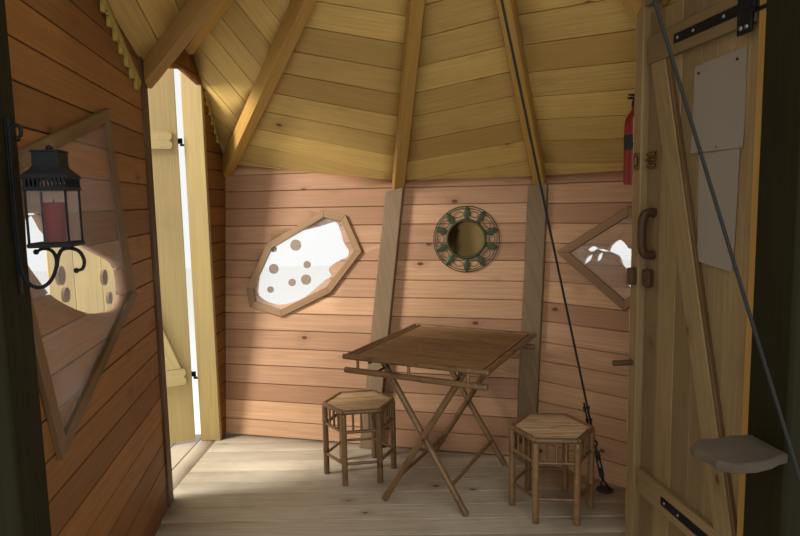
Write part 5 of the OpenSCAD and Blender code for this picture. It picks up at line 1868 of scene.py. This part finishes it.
@dataclass
class Trims:
    """Carved lace boards under the roof."""

    plan: Plan
    roof: Roof

    def lace(self, k: int, a: Sequence[float], b: Sequence[float], width: float, count: int, thick: float,
             seed: int) -> Piece:
        """Cuts a board whose lower edge repeats a drop: shoulders, a waist and a round tip."""
        a, b = np.asarray(a, float), np.asarray(b, float)
        tooth = np.array([[0.0, 0.30], [0.07, 0.46], [0.16, 0.52], [0.25, 0.48], [0.27, 0.62], [0.33, 0.84],
                          [0.44, 0.98], [0.56, 0.98], [0.67, 0.84], [0.73, 0.62], [0.75, 0.48], [0.84, 0.52],
                          [0.93, 0.46]])
        length, d = norm(b - a), (b - a) / norm(b - a)
        u = ((np.arange(count)[:, None] + tooth[None, :, 0]) / count * length).ravel()
        v = np.tile(tooth[:, 1], count) * width
        edge = np.vstack([np.stack([u, -v], 1), [[length, -0.3 * width], [length, 0.0], [0.0, 0.0]]])
        outline = a + edge[:, :1] * d + edge[:, 1:] * np.array([-d[1], d[0]])
        shell = Shell(seed=seed)
        shell.slab(Bay(self.plan, k).place, outline, -thick, -SEAT, slant(d), 0.0015)
        return shell.build("lace_%d" % k)

    def build(self) -> None:
        """Builds both boards and trims them under the roof."""
        left = self.lace(0, (0.777, 2.455), (1.407, 2.130), 0.074, 9, 0.018, 35)
        carve(left, self.roof.above(0), Cut.AWAY)
        dress(left, Stuff.TRIM, "trim_wood", "carved_trims")
        door = self.lace(1, (0.690, 2.452), (1.120, 1.905), 0.048, 10, 0.012, 36)
        carve(door, self.roof.above(2), Cut.AWAY)
        keep = np.array([[0.826, 1.0], [1.05, 1.0], [1.05, 2.7], [0.826, 2.7]])
        carve(door, Bay(self.plan, 1).prism(keep), Cut.WITHIN)
        dress(door, Stuff.TRIM, "trim_wood")


@dataclass
class Stays:
    """Laid wire stays with their clips, turnbuckle and feet."""

    plan: Plan
    r: float = 0.006
    far_foot: tuple[float, float] = (1.2070, 0.2280)
    near_foot: tuple[float, float] = (1.4250, -1.3850)
    buckle: tuple[float, float] = (0.080, 0.280)

    def _strand(self, shell: Shell, a: Array, b: Array, r: float) -> None:
        """Twists a six-lobed outline along a straight line, one turn in 60 mm.

        The outline's radius is r (0.84 + 0.16 |cos 3 angle|), turned by its distance along.
        """
        length = norm(b - a)
        s = np.linspace(0, length, max(4, int(length / 0.010)))
        axis = unit(b - a)
        side = unit(np.cross(axis, [0.3, 1.0, 0.1]))
        over = np.cross(axis, side)
        angle = (np.arange(18) * 2 * pi / 18)[None, :]
        turn = angle + s[:, None] * 2 * pi / 0.060
        radius = r * (0.84 + 0.16 * np.abs(np.cos(3 * angle)))
        shell.sweep(a + s[:, None, None] * axis + (radius * np.cos(turn))[..., None] * side
                    + (radius * np.sin(turn))[..., None] * over)

    def _clip(self, iron: Shell, centre: Array, axis: Array, side: Array) -> None:
        """Adds a wire clip: a saddle across two strands, and two legs with their nuts."""
        over = np.cross(axis, side)
        for leg in (centre - 0.011 * side, centre + 0.011 * side):
            iron.rod(leg - 0.014 * over, leg + 0.016 * over, 0.0030, 8)
            iron.rod(leg - 0.017 * over, leg - 0.010 * over, 0.0062, 6)
        iron.rod(centre - 0.017 * side - 0.007 * over, centre + 0.017 * side - 0.007 * over, 0.0058, 8)

    def build(self) -> None:
        """Builds both stays and their fittings."""
        hub, floor = self.plan.peak, self.plan.floor
        wire, iron = Shell(seed=37), Shell(seed=38)
        a, b = np.array([*self.far_foot, floor]), np.array([hub[0], hub[1], hub[2] - 0.190])
        axis = unit(b - a)
        side = unit(np.cross(axis, [0.3, 1.0, 0.0]))
        over = np.cross(axis, side)
        top = (hub[2] - Rafters.hub_h - SEAT - floor) / axis[2] - self.r * hypot(axis[0], axis[1])
        low, high = self.buckle
        tail, apart = 0.300, 0.0125

        def at(s: Numbers, u: Numbers = 0.0) -> Array:
            """Returns the point a distance s up the far stay and u to its side."""
            return a + axis * s + side * u

        self._strand(wire, at(high + 0.055), at(top), self.r)
        self._strand(wire, at(high + 0.075, apart), at(high + tail, apart), self.r * 0.9)
        t = np.linspace(-2.5, 2.5, 24)[:, None]
        loop = at(high + 0.040 - 0.020 * np.cos(t), apart / 2 + 0.016 * np.sin(t))
        wire.sweep(carried(circle(8, self.r * 0.85), loop, over))
        for s in (0.105, 0.185, 0.262):
            self._clip(iron, at(high + s, apart / 2), axis, side)
        for u in (-0.009, 0.009):
            iron.rod(at(low + 0.030, u), at(high - 0.030, u), 0.0042, 8)
        for s in (low + 0.028, high - 0.028):
            iron.rod(at(s - 0.011), at(s + 0.011), 0.0135, 12)
        iron.rod(at(low - 0.004), at(low + 0.075), 0.0050, 10)
        iron.rod(at(high - 0.075), at(high + 0.012), 0.0050, 10)
        iron.ball(at(high + 0.022, apart / 2), 0.0085)
        iron.ball(at(low), 0.0090)
        for u in (-1, 1):
            iron.rod(a + 0.0055 * UP + u * 0.026 * side * [1, 1, 0], at(low), 0.0048, 8)
        c = np.array([*self.near_foot, floor])
        for foot, r in ((a, 0.045), (c, 0.030)):
            iron.turned(Spot(foot).place, ((0.0, r), (0.0045, r), (0.006, 0.96 * r)), 32)
            for n in range(4):
                nut = foot + 0.7 * r * heading(45 + 90 * n)
                iron.rod(nut + 0.005 * UP, nut + 0.0095 * UP, 0.0042, 6)
        out = 0.465
        d = self.plan.shift + out * heading(self.plan.front_az)
        d[2] = hub[2] - Rafters.depth - out * (hub[2] - self.plan.tips[7][2]) / self.plan.porch_r
        near = unit(d - c)
        self._strand(wire, c + near * 0.0095, d - near * 0.0096, self.r)
        dress(wire.build("stay_wires", 60), Stuff.WIRE, "cable_steel", "cables")
        dress(iron.build("stay_fittings", 50), Stuff.DARKSTEEL, "cable_steel", "cable_fittings")


@dataclass
class Posts:
    """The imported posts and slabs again, with their hard edges planed off."""

    frame: dict

    def soften(self, node: str, stuff: Stuff, slot: str, width: float) -> None:
        """Merges a copy of a node's mesh, joins its flat faces and rounds its edges.

        Args:
            node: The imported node.
            stuff: The copy's finish.
            slot: The record's material slot.
            width: Width of the rounding.
        """
        solid = bmesh.new()
        solid.from_mesh(self.frame["nodes"][node].data)
        bmesh.ops.remove_doubles(solid, verts=solid.verts, dist=1e-5)
        bmesh.ops.dissolve_limit(solid, angle_limit=radians(0.5), verts=solid.verts, edges=solid.edges)
        mesh = bpy.data.meshes.new("planed_" + node)
        solid.to_mesh(mesh)
        solid.free()
        mesh.shade_smooth()
        mesh.set_sharp_from_angle(angle=radians(32))
        dress(bevelled(added("planed_" + node, mesh), width), stuff, slot, node)

    def build(self) -> None:
        """Softens every post and the shelf."""
        green, grey = (Stuff.GREEN, "green_post", 0.012), (Stuff.GREY, "grey_post", 0.005)
        looks = {
            "left_post": green, "right_post": green,
            "door_post": (Stuff.BROWN, "grey_post", 0.005),
            "door_jamb": (Stuff.JAMB, "pale_pine", 0.004),
            "entrance_far_post": (Stuff.FARPOST, "pale_pine", 0.005),
            "entrance_near_post": (Stuff.NEARPOST, "pale_pine", 0.006),
            "back_post_left": grey, "back_post_right": grey, "corner_post": grey,
            "shelf": (Stuff.SLAB, "bark_slab", 0.006)}
        for node, look in looks.items():
            self.soften(node, *look)


def paint_nodes(frame: dict) -> None:
    """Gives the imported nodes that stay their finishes."""
    kept = {
        Stuff.BEARER: ("floor_bearers",), Stuff.PANE: ("window_panes",), Stuff.DISC: ("window_discs",),
        Stuff.IRON: ("narrow_straps", "entrance_straps", "hinge_pins")}
    for stuff, names in kept.items():
        for name in names:
            node = frame["nodes"][name]
            node.data.materials.clear()
            node.data.materials.append(stuff.look)


def main() -> None:
    """Builds the tree house's looks in order."""
    logging.basicConfig(level=logging.INFO, format="%(message)s")
    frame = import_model()
    plan, shapes = Plan(), Shapes()
    Studio(plan).build()
    paint_nodes(frame)
    roof = Roof(plan)
    walls(plan, roof, shapes)
    roof.build()
    Rafters(plan).build()
    FloorBoards(plan).build()
    Posts(frame).build()
    Windows(plan, shapes).build()
    NarrowDoor(plan).build()
    EntranceDoor(plan).build()
    Trims(plan, roof).build()
    table = np.array([0.3764, 0.3405, plan.floor])
    stools = ((-0.487, 0.183, 8.0), (0.505, -0.270, -6.0))
    BambooTable(Spot(table, -27.0)).build()
    BambooStools(tuple(Spot(table + [x, y, 0.0], turn) for x, y, turn in stools)).build()
    Lantern(plan).build()
    Mirror(plan).build()
    shelf_end = np.array([1.1802, -0.1587, 1.800])
    Extinguisher(Spot(shelf_end, -60.0)).build()
    Stays(plan).build()


if __name__ == "__main__":
    main()
